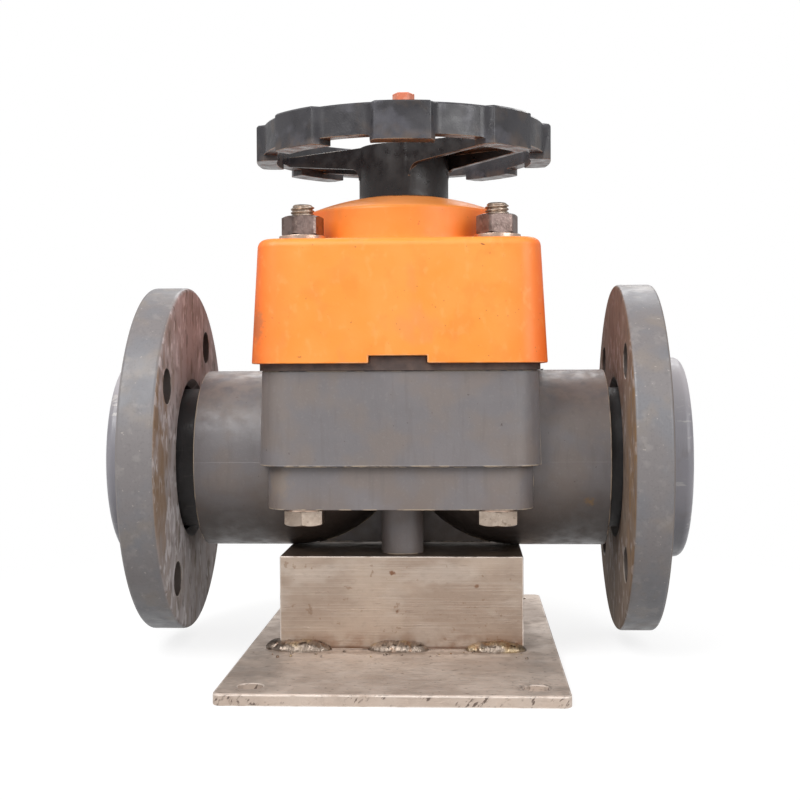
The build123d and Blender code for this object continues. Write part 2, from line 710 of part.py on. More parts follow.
# Bonnet: drafted square housing with a round dome, cored from below
with BuildPart() as bonnet:
    with BuildSketch(Plane.XY.offset(bonnet_level)):
        RectangleRounded(bonnet_foot_width, bonnet_foot_width, bonnet_corner_radius)
    extrude(amount=bonnet_height, taper=bonnet_draft)
    fillet(bonnet.faces().sort_by(Axis.Z)[-1].edges(), bonnet_top_round)
    with BuildSketch(Plane.XZ) as dome_section:
        with BuildLine():
            dome_radius = dome_diameter / 2
            dome_top_radius = dome_top_diameter / 2
            dome_middle = (
                (dome_radius + dome_top_radius) / 2 + dome_bulge * 0.5,
                dome_shoulder + dome_rise / 2 + dome_bulge,
            )
            Polyline(
                (0, roof_level - bonnet_roof),
                (dome_radius, roof_level - bonnet_roof),
                (dome_radius, dome_shoulder),
            )
            ThreePointArc((dome_radius, dome_shoulder), dome_middle, (dome_top_radius, dome_level))
            Polyline((dome_top_radius, dome_level), (0, dome_level), (0, roof_level - bonnet_roof))
        make_face()
        fillet(dome_section.vertices().group_by(Axis.X)[-1].sort_by(Axis.Y)[-1], dome_edge_round)
    revolve(axis=Axis.Z)

    # Cored pockets between the outer wall, the clamp ring and the bolt bosses
    with BuildSketch(Plane.XY.offset(bonnet_level)):
        core_width = bonnet_foot_width - 2 * bonnet_wall
        RectangleRounded(core_width, core_width, bonnet_corner_radius - bonnet_wall)
        Circle(guide_slot_diameter / 2 + clamp_ring_width, mode=Mode.SUBTRACT)
        with GridLocations(bolt_spacing, bolt_spacing, 2, 2):
            Circle(bolt_boss_diameter / 2, mode=Mode.SUBTRACT)
        with GridLocations(bolt_spacing + bolt_boss_diameter, bolt_spacing + bolt_boss_diameter, 2, 2):
            Rectangle(2 * bolt_boss_diameter, 2 * bolt_boss_diameter, mode=Mode.SUBTRACT)
    extrude(amount=bonnet_height - bonnet_roof, taper=bonnet_draft, mode=Mode.SUBTRACT)

    # Cavity for the compressor with its two guide slots
    with BuildSketch(Plane.XY.offset(bonnet_level)):
        Circle(cavity_diameter / 2)
        Rectangle(guide_slot_diameter, guide_slot_width)
    extrude(amount=cavity_height, mode=Mode.SUBTRACT)

    # Bearing pocket, ring groove, neck bore and seal groove
    with BuildSketch(Plane.XY.offset(bonnet_level)):
        Circle(pocket_diameter / 2)
    extrude(amount=ceiling_level - bonnet_level, mode=Mode.SUBTRACT)
    with BuildSketch(Plane.XY.offset(bonnet_ring_top - bonnet_ring_thickness - running)):
        Circle(pocket_diameter / 2 + bonnet_ring_groove)
    extrude(amount=bonnet_ring_thickness + 2 * running, mode=Mode.SUBTRACT)
    with BuildSketch(Plane.XY.offset(ceiling_level)):
        Circle(bush_diameter / 2 + running)
    extrude(amount=neck_wall_height, mode=Mode.SUBTRACT)
    with BuildSketch(Plane.XY.offset(seal_level - bush_seal_section / 2 - running)):
        Circle(seal_radius + bush_seal_section / 2 + running)
    extrude(amount=bush_seal_section + 2 * running, mode=Mode.SUBTRACT)

    # Front notch for the diaphragm's tab, and the bolt holes
    notch_depth = (bonnet_foot_width - clamp_width) / 2 + tab_depth + slip
    with BuildSketch(Plane.XY.offset(bonnet_level)):
        with Locations((0, -bonnet_foot_width / 2)):
            Rectangle(notch_width, 2 * notch_depth)
    extrude(amount=notch_height, mode=Mode.SUBTRACT)
    with Locations(Plane.XY.offset(roof_level)):
        with GridLocations(bolt_spacing, bolt_spacing, 2, 2):
            Hole(bolt_hole_diameter / 2)


# One spoke of the handwheel along +X: a plate with two ribs that drop towards the hub and curve into it
spoke_end = rim_inner_radius + spoke_wall / 2
spoke_foot = hub_top - spoke_hub_drop - spoke_foot_round
rib_foot_x = sqrt((hub_diameter / 2) ** 2 - ((spoke_hub_width - spoke_wall) / 2) ** 2)
with BuildPart() as spoke:
    with BuildSketch(Plane.XZ) as spoke_side:
        with BuildLine():
            Polyline(
                (0, spoke_foot),
                (rib_foot_x, spoke_foot),
                (rib_foot_x, hub_top - spoke_hub_drop),
                (rim_inner_radius, hub_top - spoke_rim_drop),
                (spoke_end, hub_top - spoke_rim_drop),
                (spoke_end, hub_top),
                (0, hub_top),
                close=True,
            )
        make_face()
        rib_corner = spoke_side.vertices().sort_by_distance((rib_foot_x, hub_top - spoke_hub_drop))[0]
        fillet(rib_corner, spoke_foot_round)
    extrude(amount=spoke_hub_width, both=True)
    with BuildSketch(Plane.XY.offset(spoke_foot)):
        with BuildLine():
            Polyline(
                (0, -spoke_hub_width / 2),
                (spoke_end, -spoke_rim_width / 2),
                (spoke_end, spoke_rim_width / 2),
                (0, spoke_hub_width / 2),
                close=True,
            )
        make_face()
    extrude(amount=hub_top - spoke_foot, mode=Mode.INTERSECT)
    with BuildSketch(Plane.XY.offset(spoke_foot)):
        with BuildLine():
            Polyline(
                (0, -spoke_hub_width / 2 + spoke_wall),
                (spoke_end, -spoke_rim_width / 2 + spoke_wall),
                (spoke_end, spoke_rim_width / 2 - spoke_wall),
                (0, spoke_hub_width / 2 - spoke_wall),
                close=True,
            )
        make_face()
    extrude(amount=hub_top - spoke_plate - spoke_foot, mode=Mode.SUBTRACT)


# Handwheel: lobed rim, two broad spokes and a cored hub with a hexagonal drive
with BuildPart() as handwheel:
    with BuildSketch(Plane.XY.offset(rim_top - rim_height)):
        Circle(rim_outer_radius)
        Circle(rim_inner_radius, mode=Mode.SUBTRACT)
    extrude(amount=rim_height)
    # A lobe's ramps climb from where they leave the rim's circle to where they meet the wheel's
    lobe_foot_width = lobe_width + 2 * lobe_ramp
    lobe_base_x = sqrt(rim_outer_radius**2 - (lobe_foot_width / 2) ** 2)
    lobe_top_x = sqrt(wheel_radius**2 - (lobe_width / 2) ** 2)
    lobe_root_x = sqrt(rim_inner_radius**2 - (lobe_foot_width / 2) ** 2)
    lobe_slope = degrees(atan((lobe_top_x - lobe_base_x) / lobe_ramp))
    with BuildSketch(Plane.XY.offset(rim_top - lobe_height)):
        with PolarLocations(lobe_base_x, lobe_count, start_angle=lobe_turn - 90):
            Trapezoid(
                lobe_foot_width,
                lobe_top_x - lobe_base_x,
                lobe_slope,
                rotation=-90,
                align=(Align.CENTER, Align.MIN),
            )
            Rectangle(wheel_radius - lobe_base_x, lobe_width, align=(Align.MIN, Align.CENTER))
            Rectangle(lobe_base_x - lobe_root_x, lobe_foot_width, align=(Align.MAX, Align.CENTER))
        Circle(wheel_radius, mode=Mode.INTERSECT)
        Circle(rim_inner_radius, mode=Mode.SUBTRACT)
    extrude(amount=lobe_height)
    add(spoke.part, rotation=(0, 0, spoke_angle))
    add(spoke.part, rotation=(0, 0, spoke_angle + 180))
    with BuildSketch(Plane.XY.offset(hub_level)):
        Circle(hub_diameter / 2)
    extrude(amount=hub_height)

    chamfer(handwheel.faces().sort_by(Axis.Z)[-1].edges(), rim_edge_bevel)

    # Coring of the hub, drive for the bush's hexagon, ring seat and cap recess
    with BuildSketch(Plane.XY.offset(hub_level)):
        Circle(hub_diameter / 2 - hub_wall)
        Circle(hub_core_diameter / 2, mode=Mode.SUBTRACT)
    extrude(amount=hub_core_depth, mode=Mode.SUBTRACT)
    with BuildSketch(Plane.XY.offset(hub_level)):
        RegularPolygon(hex_flats / 2 + glue_gap, 6, major_radius=False)
    extrude(amount=hub_height, mode=Mode.SUBTRACT)
    with BuildSketch(Plane.XY.offset(ring_level)):
        Circle(wheel_ring_radius + slip)
    extrude(amount=hub_top - ring_level, mode=Mode.SUBTRACT)
    with BuildSketch(Plane.XY.offset(cap_level)):
        Circle(cap_diameter / 2)
    extrude(amount=cap_thickness, mode=Mode.SUBTRACT)


# Bonnet bolts with their washers and nuts
bolt_end = roof_level + washer_thickness + nut_height + bolt_tail
bolt_seat = skirt_level - head_washer_thickness
with BuildPart() as bonnet_bolts:
    with BuildSketch(Plane.XY.offset(bolt_seat - bolt_head_height)):
        with GridLocations(bolt_spacing, bolt_spacing, 2, 2):
            RegularPolygon(bolt_head_flats / 2, 6, major_radius=False, rotation=30)
    extrude(amount=bolt_head_height)
    with BuildSketch(Plane.XY.offset(bolt_seat)):
        with GridLocations(bolt_spacing, bolt_spacing, 2, 2):
            Circle(bolt_diameter / 2)
    extrude(amount=bolt_end - bolt_seat)

with BuildPart() as bonnet_nuts:
    with BuildSketch(Plane.XY.offset(roof_level + washer_thickness)):
        with GridLocations(bolt_spacing, bolt_spacing, 2, 2):
            RegularPolygon(bolt_head_flats / 2, 6, major_radius=False, rotation=nut_turn)
            Circle(bolt_diameter / 2 + running, mode=Mode.SUBTRACT)
    extrude(amount=nut_height)


def bolt_washers(level, diameter, thickness):
    with BuildPart() as washers:
        with BuildSketch(Plane.XY.offset(level)):
            with GridLocations(bolt_spacing, bolt_spacing, 2, 2):
                Circle(diameter / 2)
                Circle(bolt_hole_diameter / 2, mode=Mode.SUBTRACT)
        extrude(amount=thickness)
    return washers


nut_washers = bolt_washers(roof_level, washer_diameter, washer_thickness)
head_washers = bolt_washers(bolt_seat, head_washer_diameter, head_washer_thickness)


pieces = {
    "base_plate": base_plate,
    "bracket_channel": bracket_channel,
    "weld_beads": weld_beads,
    "bracket_screws": bracket_screws,
    "bracket_washers": bracket_washers,
    "mounting_inserts": mounting_inserts,
    "valve_body": valve_body,
    "flange_adaptor_left": flange_adaptor_left,
    "flange_adaptor_right": flange_adaptor_right,
    "backing_flange_left": backing_flange_left,
    "backing_flange_right": backing_flange_right,
    "diaphragm": diaphragm,
    "diaphragm_stud": diaphragm_stud,
    "compressor": compressor,
    "stem": stem,
    "compressor_pin": compressor_pin,
    "position_indicator": position_indicator,
    "thread_bush": thread_bush,
    "thrust_washer_upper": thrust_washer_upper,
    "thrust_washer_lower": thrust_washer_lower,
    "retaining_ring": retaining_ring,
    "bush_seal": bush_seal,
    "wheel_ring": wheel_ring,
    "hub_cap": hub_cap,
    "bonnet": bonnet,
    "handwheel": handwheel,
    "bonnet_bolts": bonnet_bolts,
    "bonnet_nuts": bonnet_nuts,
    "nut_washers": nut_washers,
    "head_washers": head_washers,
}
for name, piece in pieces.items():
    piece.part.label = name
    export_step(piece.part, f"parts/{name}.step")
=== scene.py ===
import random
from math import atan2, cos, pi, radians, sin

import bmesh
import bpy
from mathutils import Matrix, Vector, noise


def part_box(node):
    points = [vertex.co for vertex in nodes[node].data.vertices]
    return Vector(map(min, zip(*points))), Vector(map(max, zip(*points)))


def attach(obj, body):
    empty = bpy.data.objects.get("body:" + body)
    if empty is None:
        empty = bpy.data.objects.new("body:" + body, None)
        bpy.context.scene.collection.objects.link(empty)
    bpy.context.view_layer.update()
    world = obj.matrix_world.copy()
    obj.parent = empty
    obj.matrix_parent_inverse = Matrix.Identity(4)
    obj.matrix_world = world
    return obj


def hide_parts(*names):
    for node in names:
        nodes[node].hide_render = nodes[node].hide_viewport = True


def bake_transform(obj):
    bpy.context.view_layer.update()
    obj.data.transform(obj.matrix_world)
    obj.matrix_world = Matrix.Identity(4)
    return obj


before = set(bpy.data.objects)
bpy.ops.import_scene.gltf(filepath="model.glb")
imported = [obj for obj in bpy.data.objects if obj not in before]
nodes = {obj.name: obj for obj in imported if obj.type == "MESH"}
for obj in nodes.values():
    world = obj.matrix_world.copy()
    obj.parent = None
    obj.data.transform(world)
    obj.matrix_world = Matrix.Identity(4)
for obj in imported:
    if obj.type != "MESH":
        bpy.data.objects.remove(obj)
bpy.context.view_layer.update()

MM = 0.001

# Places read from the frame, in metres
plate_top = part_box("base_plate")[1].z
channel_low, channel_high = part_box("bracket_channel")
weld_low, weld_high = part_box("weld_beads")
body_low, body_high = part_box("valve_body")
rubber_low, rubber_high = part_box("diaphragm")
bonnet_low, bonnet_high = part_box("bonnet")
bolt_low, bolt_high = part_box("bonnet_bolts")
nut_low, nut_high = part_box("bonnet_nuts")
head_washer_low, head_washer_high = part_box("head_washers")
wheel_low, wheel_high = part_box("handwheel")
flange_low, flange_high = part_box("backing_flange_left")
pipe_level = (flange_low.z + flange_high.z) / 2

# Sizes of the turned rings and spigots; turns are in degrees
flange_bore_radius = 39.5 * MM
flange_bore_chamfer = 3.5 * MM
flange_rim_round = 2.0 * MM
flange_edge_round = 0.5 * MM
flange_hole_count = 4
flange_hole_circle = 72.5 * MM
flange_hole_radius = 9.0 * MM
flange_left_turn = 57
flange_right_turn = 45
pipe_radius = 37.5 * MM
port_radius = 32.5 * MM
collar_thickness = 15.2 * MM
collar_edge_round = 4.0 * MM
groove_radii = [38.975 * MM, 42.975 * MM, 46.975 * MM]
groove_width = 1.2 * MM
groove_depth = 0.8 * MM

# Sizes of the bolts and nuts
bolt_radius = 6.0 * MM
bolt_tip_chamfer = 0.6 * MM
hexagon_flats = 19.0 * MM
hexagon_chamfer_radius = 0.475 * hexagon_flats
hexagon_chamfer_slope = 0.5
head_turn = 30
nut_turn = 13
nut_bore_gap = 0.05 * MM
head_washer_radius = 10.0 * MM
bolt_spread = head_washer_high.x - head_washer_radius
bolt_places = [
    Matrix.Translation((x, y, 0))
    for x in (-bolt_spread, bolt_spread)
    for y in (-bolt_spread, bolt_spread)
]
thread_pitch = 1.75 * MM
thread_depth = 0.95 * MM
thread_start = bonnet_high.z - 40 * MM

# Sizes of the diaphragm, the bonnet's hollow and the welds
membrane_inner = 11.0 * MM
membrane_outer = 35.5 * MM
membrane_sectors = 12
membrane_cuts = 10
bonnet_wall_inside = 62.0 * MM
bonnet_cavity_radius = 50.0 * MM
bonnet_cavity_top = bonnet_low.z + 55 * MM
weld_radius = 6.0 * MM
weld_sunk = 1.5 * MM
weld_length = 31.0 * MM
weld_return_length = 14.0 * MM
weld_pitch = 49.5 * MM
weld_ripple_pitch = 1.7 * MM
weld_slice = 0.35 * MM
spatter_drops = 22

# How near vertices are merged, and how far a cutter runs past what it cuts
merge_distance = 0.001 * MM
overrun = 1.0 * MM

# A radius in millimetres that is so long that a mark has no end along that axis
endless = 1e6


# Colour and nodes

def colour(code):
    """Linear RGBA from an sRGB hex value such as #7A7676."""
    parts = [int(code[i:i + 2], 16) / 255 for i in (1, 3, 5)]
    return [p / 12.92 if p <= 0.04045 else ((p + 0.055) / 1.055) ** 2.4 for p in parts] + [1.0]


def add_node(tree, kind, inputs=None, **settings):
    """Adds a node; inputs maps a socket to a value or to another node's output socket."""
    node = tree.nodes.new(kind)
    for name, value in settings.items():
        setattr(node, name, value)
    for socket, value in (inputs or {}).items():
        if isinstance(value, bpy.types.NodeSocket):
            tree.links.new(value, node.inputs[socket])
        else:
            node.inputs[socket].default_value = value
    return node


def new_material(name, **values):
    """A material with one Principled shader, its plain numbers set on the shader's own sockets."""
    material = bpy.data.materials.new(name)
    material.use_nodes = True
    tree = material.node_tree
    tree.nodes.clear()
    shader = add_node(tree, "ShaderNodeBsdfPrincipled", values)
    add_node(tree, "ShaderNodeOutputMaterial", {"Surface": shader.outputs["BSDF"]})
    return material, tree, shader


def ramp(tree, value, start, end):
    """Climbs smoothly from 0 at start to 1 at end."""
    return add_node(
        tree,
        "ShaderNodeMapRange",
        {"Value": value, "From Min": start, "From Max": end},
        interpolation_type="SMOOTHSTEP",
    ).outputs[0]


def placed(tree, centre, size, turn=(0, 0, 0)):
    """Object coordinates about a centre in metres, turned and then divided by a size in millimetres."""
    return add_node(
        tree,
        "ShaderNodeMapping",
        {
            "Vector": add_node(tree, "ShaderNodeTexCoord").outputs["Object"],
            "Location": centre,
            "Rotation": turn,
            "Scale": [s * MM for s in size],
        },
        vector_type="TEXTURE",
    ).outputs[0]


def distance_from(tree, centre, size, turn=(0, 0, 0)):
    """How far a point is from a centre in metres, as a multiple of a size in millimetres."""
    where = placed(tree, centre, size, turn)
    return add_node(tree, "ShaderNodeVectorMath", {0: where}, operation="LENGTH").outputs["Value"]


def patches(tree, size, low, high, stretch=(1, 1, 1), detail=3.0, seed=0.0, turn=(0, 0, 0)):
    """Irregular patches about size millimetres across: 0 below low, 1 above high of the noise."""
    where = placed(tree, (seed, seed * 0.7, seed * 0.3), [size * s for s in stretch], turn)
    cloud = add_node(tree, "ShaderNodeTexNoise", {"Vector": where, "Scale": 1.0, "Detail": detail})
    return ramp(tree, cloud.outputs[0], low, high)


def waves(tree, size, stretch=(1, 1, 1), detail=3.0):
    """Even variation about size millimetres across, for relief and gloss."""
    return patches(tree, size, 0.3, 0.7, stretch, detail)


def spot(tree, centre, radii, soft=0.6, ragged=0.7, turn=(0, 0, 0)):
    """A ragged mark about a centre in millimetres: 1 inside the radii, fading out over soft of them."""
    distance = distance_from(tree, [c * MM for c in centre], radii, turn)
    edge = patches(tree, max(1.5, min(radii) * 0.6), 0.25, 0.75, seed=centre[0] * MM)
    uneven = add_node(tree, "ShaderNodeMath", {0: edge, 1: ragged, 2: distance}, operation="MULTIPLY_ADD")
    return ramp(tree, uneven.outputs[0], 1 + soft, 1 - soft / 2)


def zone(tree, axis, start, end, source="Object", mirrored=False):
    """Climbs from 0 at start to 1 at end along an axis, in metres or, for Normal, of the normal."""
    origin = add_node(tree, "ShaderNodeTexCoord")
    value = add_node(tree, "ShaderNodeSeparateXYZ", {0: origin.outputs[source]}).outputs["XYZ".index(axis)]
    if mirrored:
        value = add_node(tree, "ShaderNodeMath", {0: value}, operation="ABSOLUTE").outputs[0]
    return ramp(tree, value, start, end)


def near_pipe_axis(tree, radius):
    """1 nearer to the pipe axis than a radius in millimetres, at any place along it."""
    return ramp(tree, distance_from(tree, (0, 0, pipe_level), (endless, radius, radius)), 1.01, 0.99)


def rounded_edges(tree):
    """1 on the faces that round_edges made, for wear."""
    return add_node(tree, "ShaderNodeAttribute", attribute_name="edge").outputs["Fac"]


def product(tree, *masks):
    """Where all the masks meet; a mask may be a number."""
    whole = masks[0]
    for mask in masks[1:]:
        whole = add_node(tree, "ShaderNodeMath", {0: whole, 1: mask}, operation="MULTIPLY").outputs[0]
    return whole


def coats(tree, base, *layers):
    """Lays colours over a base colour; each layer is a mask, how much of it covers, and an sRGB hex value.
    Sockets 6 and 7 of a Mix node are its two colours, and output 2 is what they make."""
    under = colour(base)
    for mask, strength, code in layers:
        cover = product(tree, mask, strength)
        mix = add_node(tree, "ShaderNodeMix", {0: cover, 6: under, 7: colour(code)}, data_type="RGBA")
        under = mix.outputs[2]
    return under


def relief(tree, *heights):
    """Stacks bumps; each is a height mask and its depth in millimetres."""
    normal = None
    for height, depth in heights:
        inputs = {"Height": height, "Distance": depth * MM, "Strength": 1.0}
        if normal is not None:
            inputs["Normal"] = normal
        normal = add_node(tree, "ShaderNodeBump", inputs).outputs[0]
    return normal


def dress(tree, shader, base_colour, gloss_mask, smooth, rough, normal):
    """Links colour, a roughness that runs from smooth to rough with a mask, and relief to the shader."""
    roughness = add_node(tree, "ShaderNodeMapRange", {"Value": gloss_mask, "To Min": smooth, "To Max": rough})
    tree.links.new(base_colour, shader.inputs["Base Color"])
    tree.links.new(roughness.outputs[0], shader.inputs["Roughness"])
    tree.links.new(normal, shader.inputs["Normal"])


# Materials
# Pebble, rolling lines and tool marks are a few tenths of a millimetre wide on the real surfaces.
# That is too fine to show, so they are drawn half a millimetre to a millimetre wide.

def moulded_grey_pvc():
    """Injection-moulded PVC body: dull grey, faintly pebbled, brown with dust low down, with painted shade on
    the faces turned downwards, pale at worn corners.
    """
    material, tree, shader = new_material("moulded_grey_pvc", IOR=1.53)
    ledges = product(tree, zone(tree, "Z", 0.35, 0.95, "Normal"), patches(tree, 9, 0.35, 0.6))
    low_down = product(tree, zone(tree, "Z", 98 * MM, 70 * MM), patches(tree, 26, 0.3, 0.6))
    underside = zone(tree, "Z", -0.1, -0.75, "Normal")
    worn = product(tree, rounded_edges(tree), patches(tree, 7, 0.42, 0.58, (1, 1, 2)))
    skin = coats(
        tree,
        "#7A7576",
        (patches(tree, 60, 0.35, 0.65), 0.5, "#6E6B6D"),
        (patches(tree, 24, 0.42, 0.62), 0.45, "#7F7166"),
        (patches(tree, 1.6, 0.56, 0.74), 0.22, "#8E8987"),
        (ledges, 0.6, "#95897F"),
        (low_down, 0.5, "#6E5F56"),
        # painted shade: the faces turned downwards are painted dark brown grey
        (underside, 0.85, "#3C332E"),
        (patches(tree, 2.2, 0.73, 0.76, seed=3), 0.7, "#4A3F3A"),
        (patches(tree, 3.2, 0.52, 0.7, (1, 1, 9), seed=5), 0.22, "#655D5B"),
        (worn, 0.85, "#B8A792"),
        (spot(tree, (-86, -47, 133), (1.6, 12, 2.2)), 1.0, "#5B3B28"),
        (spot(tree, (69, -70, 110), (3.5, 4, 22), ragged=1.2), 1.0, "#A19690"),
        (spot(tree, (96, -46, 80), (3, 9, 2.5)), 1.0, "#7B6244"),
        (spot(tree, (-62, -67, 92), (9, 9, 9)), 0.5, "#8C7C6C"),
    )
    seam = zone(tree, "Z", pipe_level + 0.5 * MM, pipe_level - 0.1 * MM)
    pebble = waves(tree, 0.9, detail=2)
    normal = relief(tree, (pebble, 0.015), (waves(tree, 14), 0.1), (seam, 0.12))
    dress(tree, shader, skin, waves(tree, 6), 0.34, 0.52, normal)
    return material


def turned_grey_pvc(name, face_shade, browned, streaked):
    """Turned PVC ring: grey, with painted shade in its bore and bolt holes; the face towards the valve has
    brown dust and pale runs.
    """
    material, tree, shader = new_material(name, IOR=1.53)
    on_face = zone(tree, "X", 0.5, 0.85, "Normal", mirrored=True)
    brown = patches(tree, 13, 0.42, 0.62, (1, 0.9, 1.5), detail=5)
    dark = patches(tree, 7, 0.55, 0.68, (1, 0.8, 1.4), detail=5, seed=2)
    runs = product(tree, patches(tree, 5, 0.52, 0.62, (1, 0.9, 1.6), detail=7), patches(tree, 26, 0.38, 0.56))
    front = zone(tree, "Y", -52 * MM, -68 * MM)
    side_on = product(tree, front, patches(tree, 12, 0.34, 0.54, (1, 0.8, 2), detail=5, seed=3))
    level = spot(tree, (0, -80, pipe_level / MM), (endless, 60, 62), soft=0.5)
    near_outer_face = -flange_low.x - 5 * MM
    near_valve_face = -flange_high.x + 5 * MM
    valve_side = zone(tree, "X", near_outer_face, near_valve_face, mirrored=True)
    outer_side = zone(tree, "X", near_valve_face, near_outer_face, mirrored=True)
    worn = product(tree, rounded_edges(tree), patches(tree, 9, 0.4, 0.6))
    skin = coats(
        tree,
        "#7B7676",
        (patches(tree, 28, 0.42, 0.6, seed=1), 0.55, "#72747A"),
        (patches(tree, 19, 0.5, 0.66, seed=4), 0.5, "#887D73"),
        (patches(tree, 6, 0.55, 0.7, seed=6), 0.3, "#9B9692"),
        (patches(tree, 1.2, 0.5, 0.72), 0.25, "#5E5B5B"),
        (patches(tree, 1.8, 0.68, 0.74, seed=8), 0.6, "#B3ABA2"),
        # painted shade: the walls of the bore and bolt holes are painted dark
        (near_pipe_axis(tree, 88), 0.85, "#3A2F27"),
        (on_face, 1.0, face_shade),
        (product(tree, on_face, brown), browned, "#7A6C60"),
        (product(tree, on_face, dark), browned, "#4E433B"),
        (product(tree, on_face, side_on, level, valve_side), 0.75, "#7E6242"),
        (product(tree, on_face, runs, valve_side), streaked, "#CFCBCE"),
        (product(tree, on_face, outer_side), 0.7, "#7B7777"),
        (worn, 0.6, "#A79C92"),
    )
    turning = waves(tree, 0.8, (0.5, 10, 10), detail=2)
    normal = relief(tree, (turning, 0.015), (waves(tree, 9), 0.06))
    dull = ramp(tree, product(tree, on_face, 0.8), 0.0, 1.0)
    uneven = product(tree, waves(tree, 8), 0.3)
    gloss = add_node(tree, "ShaderNodeMath", {0: dull, 1: uneven}, operation="ADD")
    dress(tree, shader, skin, gloss.outputs[0], 0.38, 0.9, normal)
    return material


def collar_grey_pvc():
    """Smoother turned PVC of the glued collars: blue grey with pale scuffs, a painted highlight along the top
    and painted shade along the bottom; the spigot where it shows in the gap at each ring is painted near
    black as painted shade.
    """
    material, tree, shader = new_material("collar_grey_pvc", IOR=1.53)
    painted_highlight_crown = zone(tree, "Z", pipe_level + 15 * MM, pipe_level + 50 * MM)
    painted_shade_belly = zone(tree, "Z", pipe_level - 15 * MM, pipe_level - 50 * MM)
    scuffs = product(tree, patches(tree, 2.0, 0.6, 0.68, (4, 1, 1)), patches(tree, 24, 0.45, 0.6))
    painted_shade_neck = zone(tree, "X", 131.5 * MM, 129 * MM, mirrored=True)
    skin = coats(
        tree,
        "#8E8B91",
        (patches(tree, 30, 0.4, 0.65), 0.4, "#7F7E85"),
        (patches(tree, 11, 0.54, 0.72), 0.3, "#7A7069"),
        # painted highlight: the top of each collar is painted pale
        (painted_highlight_crown, 0.7, "#CBC5C8"),
        # painted shade: the bottom of each collar is painted darker
        (painted_shade_belly, 0.7, "#5F5E65"),
        (scuffs, 0.7, "#C9C4C0"),
        # painted shade: the spigot in the gap at each ring is painted near black
        (painted_shade_neck, 0.93, "#1B1816"),
    )
    turning = waves(tree, 0.8, (0.5, 8, 8), detail=2)
    dress(tree, shader, skin, waves(tree, 7), 0.28, 0.46, relief(tree, (turning, 0.02)))
    return material


def faded_orange_plastic():
    """Moulded housing plastic: orange, with painted shade, deeper and redder, towards its sides, round its
    corners and on the dome's sides, a painted highlight on the dome's upper faces, and a little grimy.
    """
    material, tree, shader = new_material("faded_orange_plastic", IOR=1.5)
    roof = bonnet_low.z + 63 * MM
    dome = zone(tree, "Z", roof, roof + 3 * MM)
    painted_shade_dome_sides = product(tree, dome, zone(tree, "X", 22 * MM, 52 * MM, mirrored=True))
    painted_highlight_dome_band = product(tree, dome, zone(tree, "Z", 0.45, 0.9, "Normal"))
    # where painted shade goes, towards the housing's sides and round its corners
    sides = zone(tree, "X", 46 * MM, 74 * MM, mirrored=True)
    corners = zone(tree, "X", 64 * MM, 73 * MM, mirrored=True)
    left_corners = zone(tree, "X", -66 * MM, -73 * MM)
    scratch = spot(tree, (42, -70, 209), (1.6, 6, 0.35), turn=(0, radians(14), 0))
    worn = product(tree, rounded_edges(tree), patches(tree, 12, 0.4, 0.6))
    skin = coats(
        tree,
        "#FF9639",
        (patches(tree, 40, 0.38, 0.62), 0.5, "#FF9F48"),
        # painted shade: the housing is painted deeper and redder towards its sides and round its corners
        (sides, 0.8, "#FD7A2A"),
        (corners, 0.75, "#F86A22"),
        (left_corners, 0.35, "#D87848"),
        (patches(tree, 11, 0.48, 0.7), 0.35, "#FA8631"),
        (patches(tree, 4, 0.55, 0.72, (1, 1, 1.6), seed=4), 0.22, "#FFB26A"),
        (dome, 0.5, "#F98A33"),
        # painted shade: the dome's sides are painted deeper red
        (painted_shade_dome_sides, 0.85, "#FA6E24"),
        # painted highlight: the dome's upward-facing band is painted paler
        (painted_highlight_dome_band, 0.55, "#FFA55C"),
        (patches(tree, 20, 0.58, 0.76, (1, 1, 1.6), seed=7), 0.3, "#C98058"),
        (patches(tree, 1.7, 0.7, 0.74, seed=9), 0.6, "#A8602F"),
        (scratch, 0.8, "#6A3A20"),
        (spot(tree, (-70, -68, 170), (4, 8, 9)), 0.45, "#A06A4E"),
        (worn, 0.5, "#FFC58E"),
    )
    normal = relief(tree, (waves(tree, 0.8, detail=2), 0.012), (waves(tree, 20), 0.1))
    dress(tree, shader, skin, waves(tree, 10), 0.36, 0.5, normal)
    return material


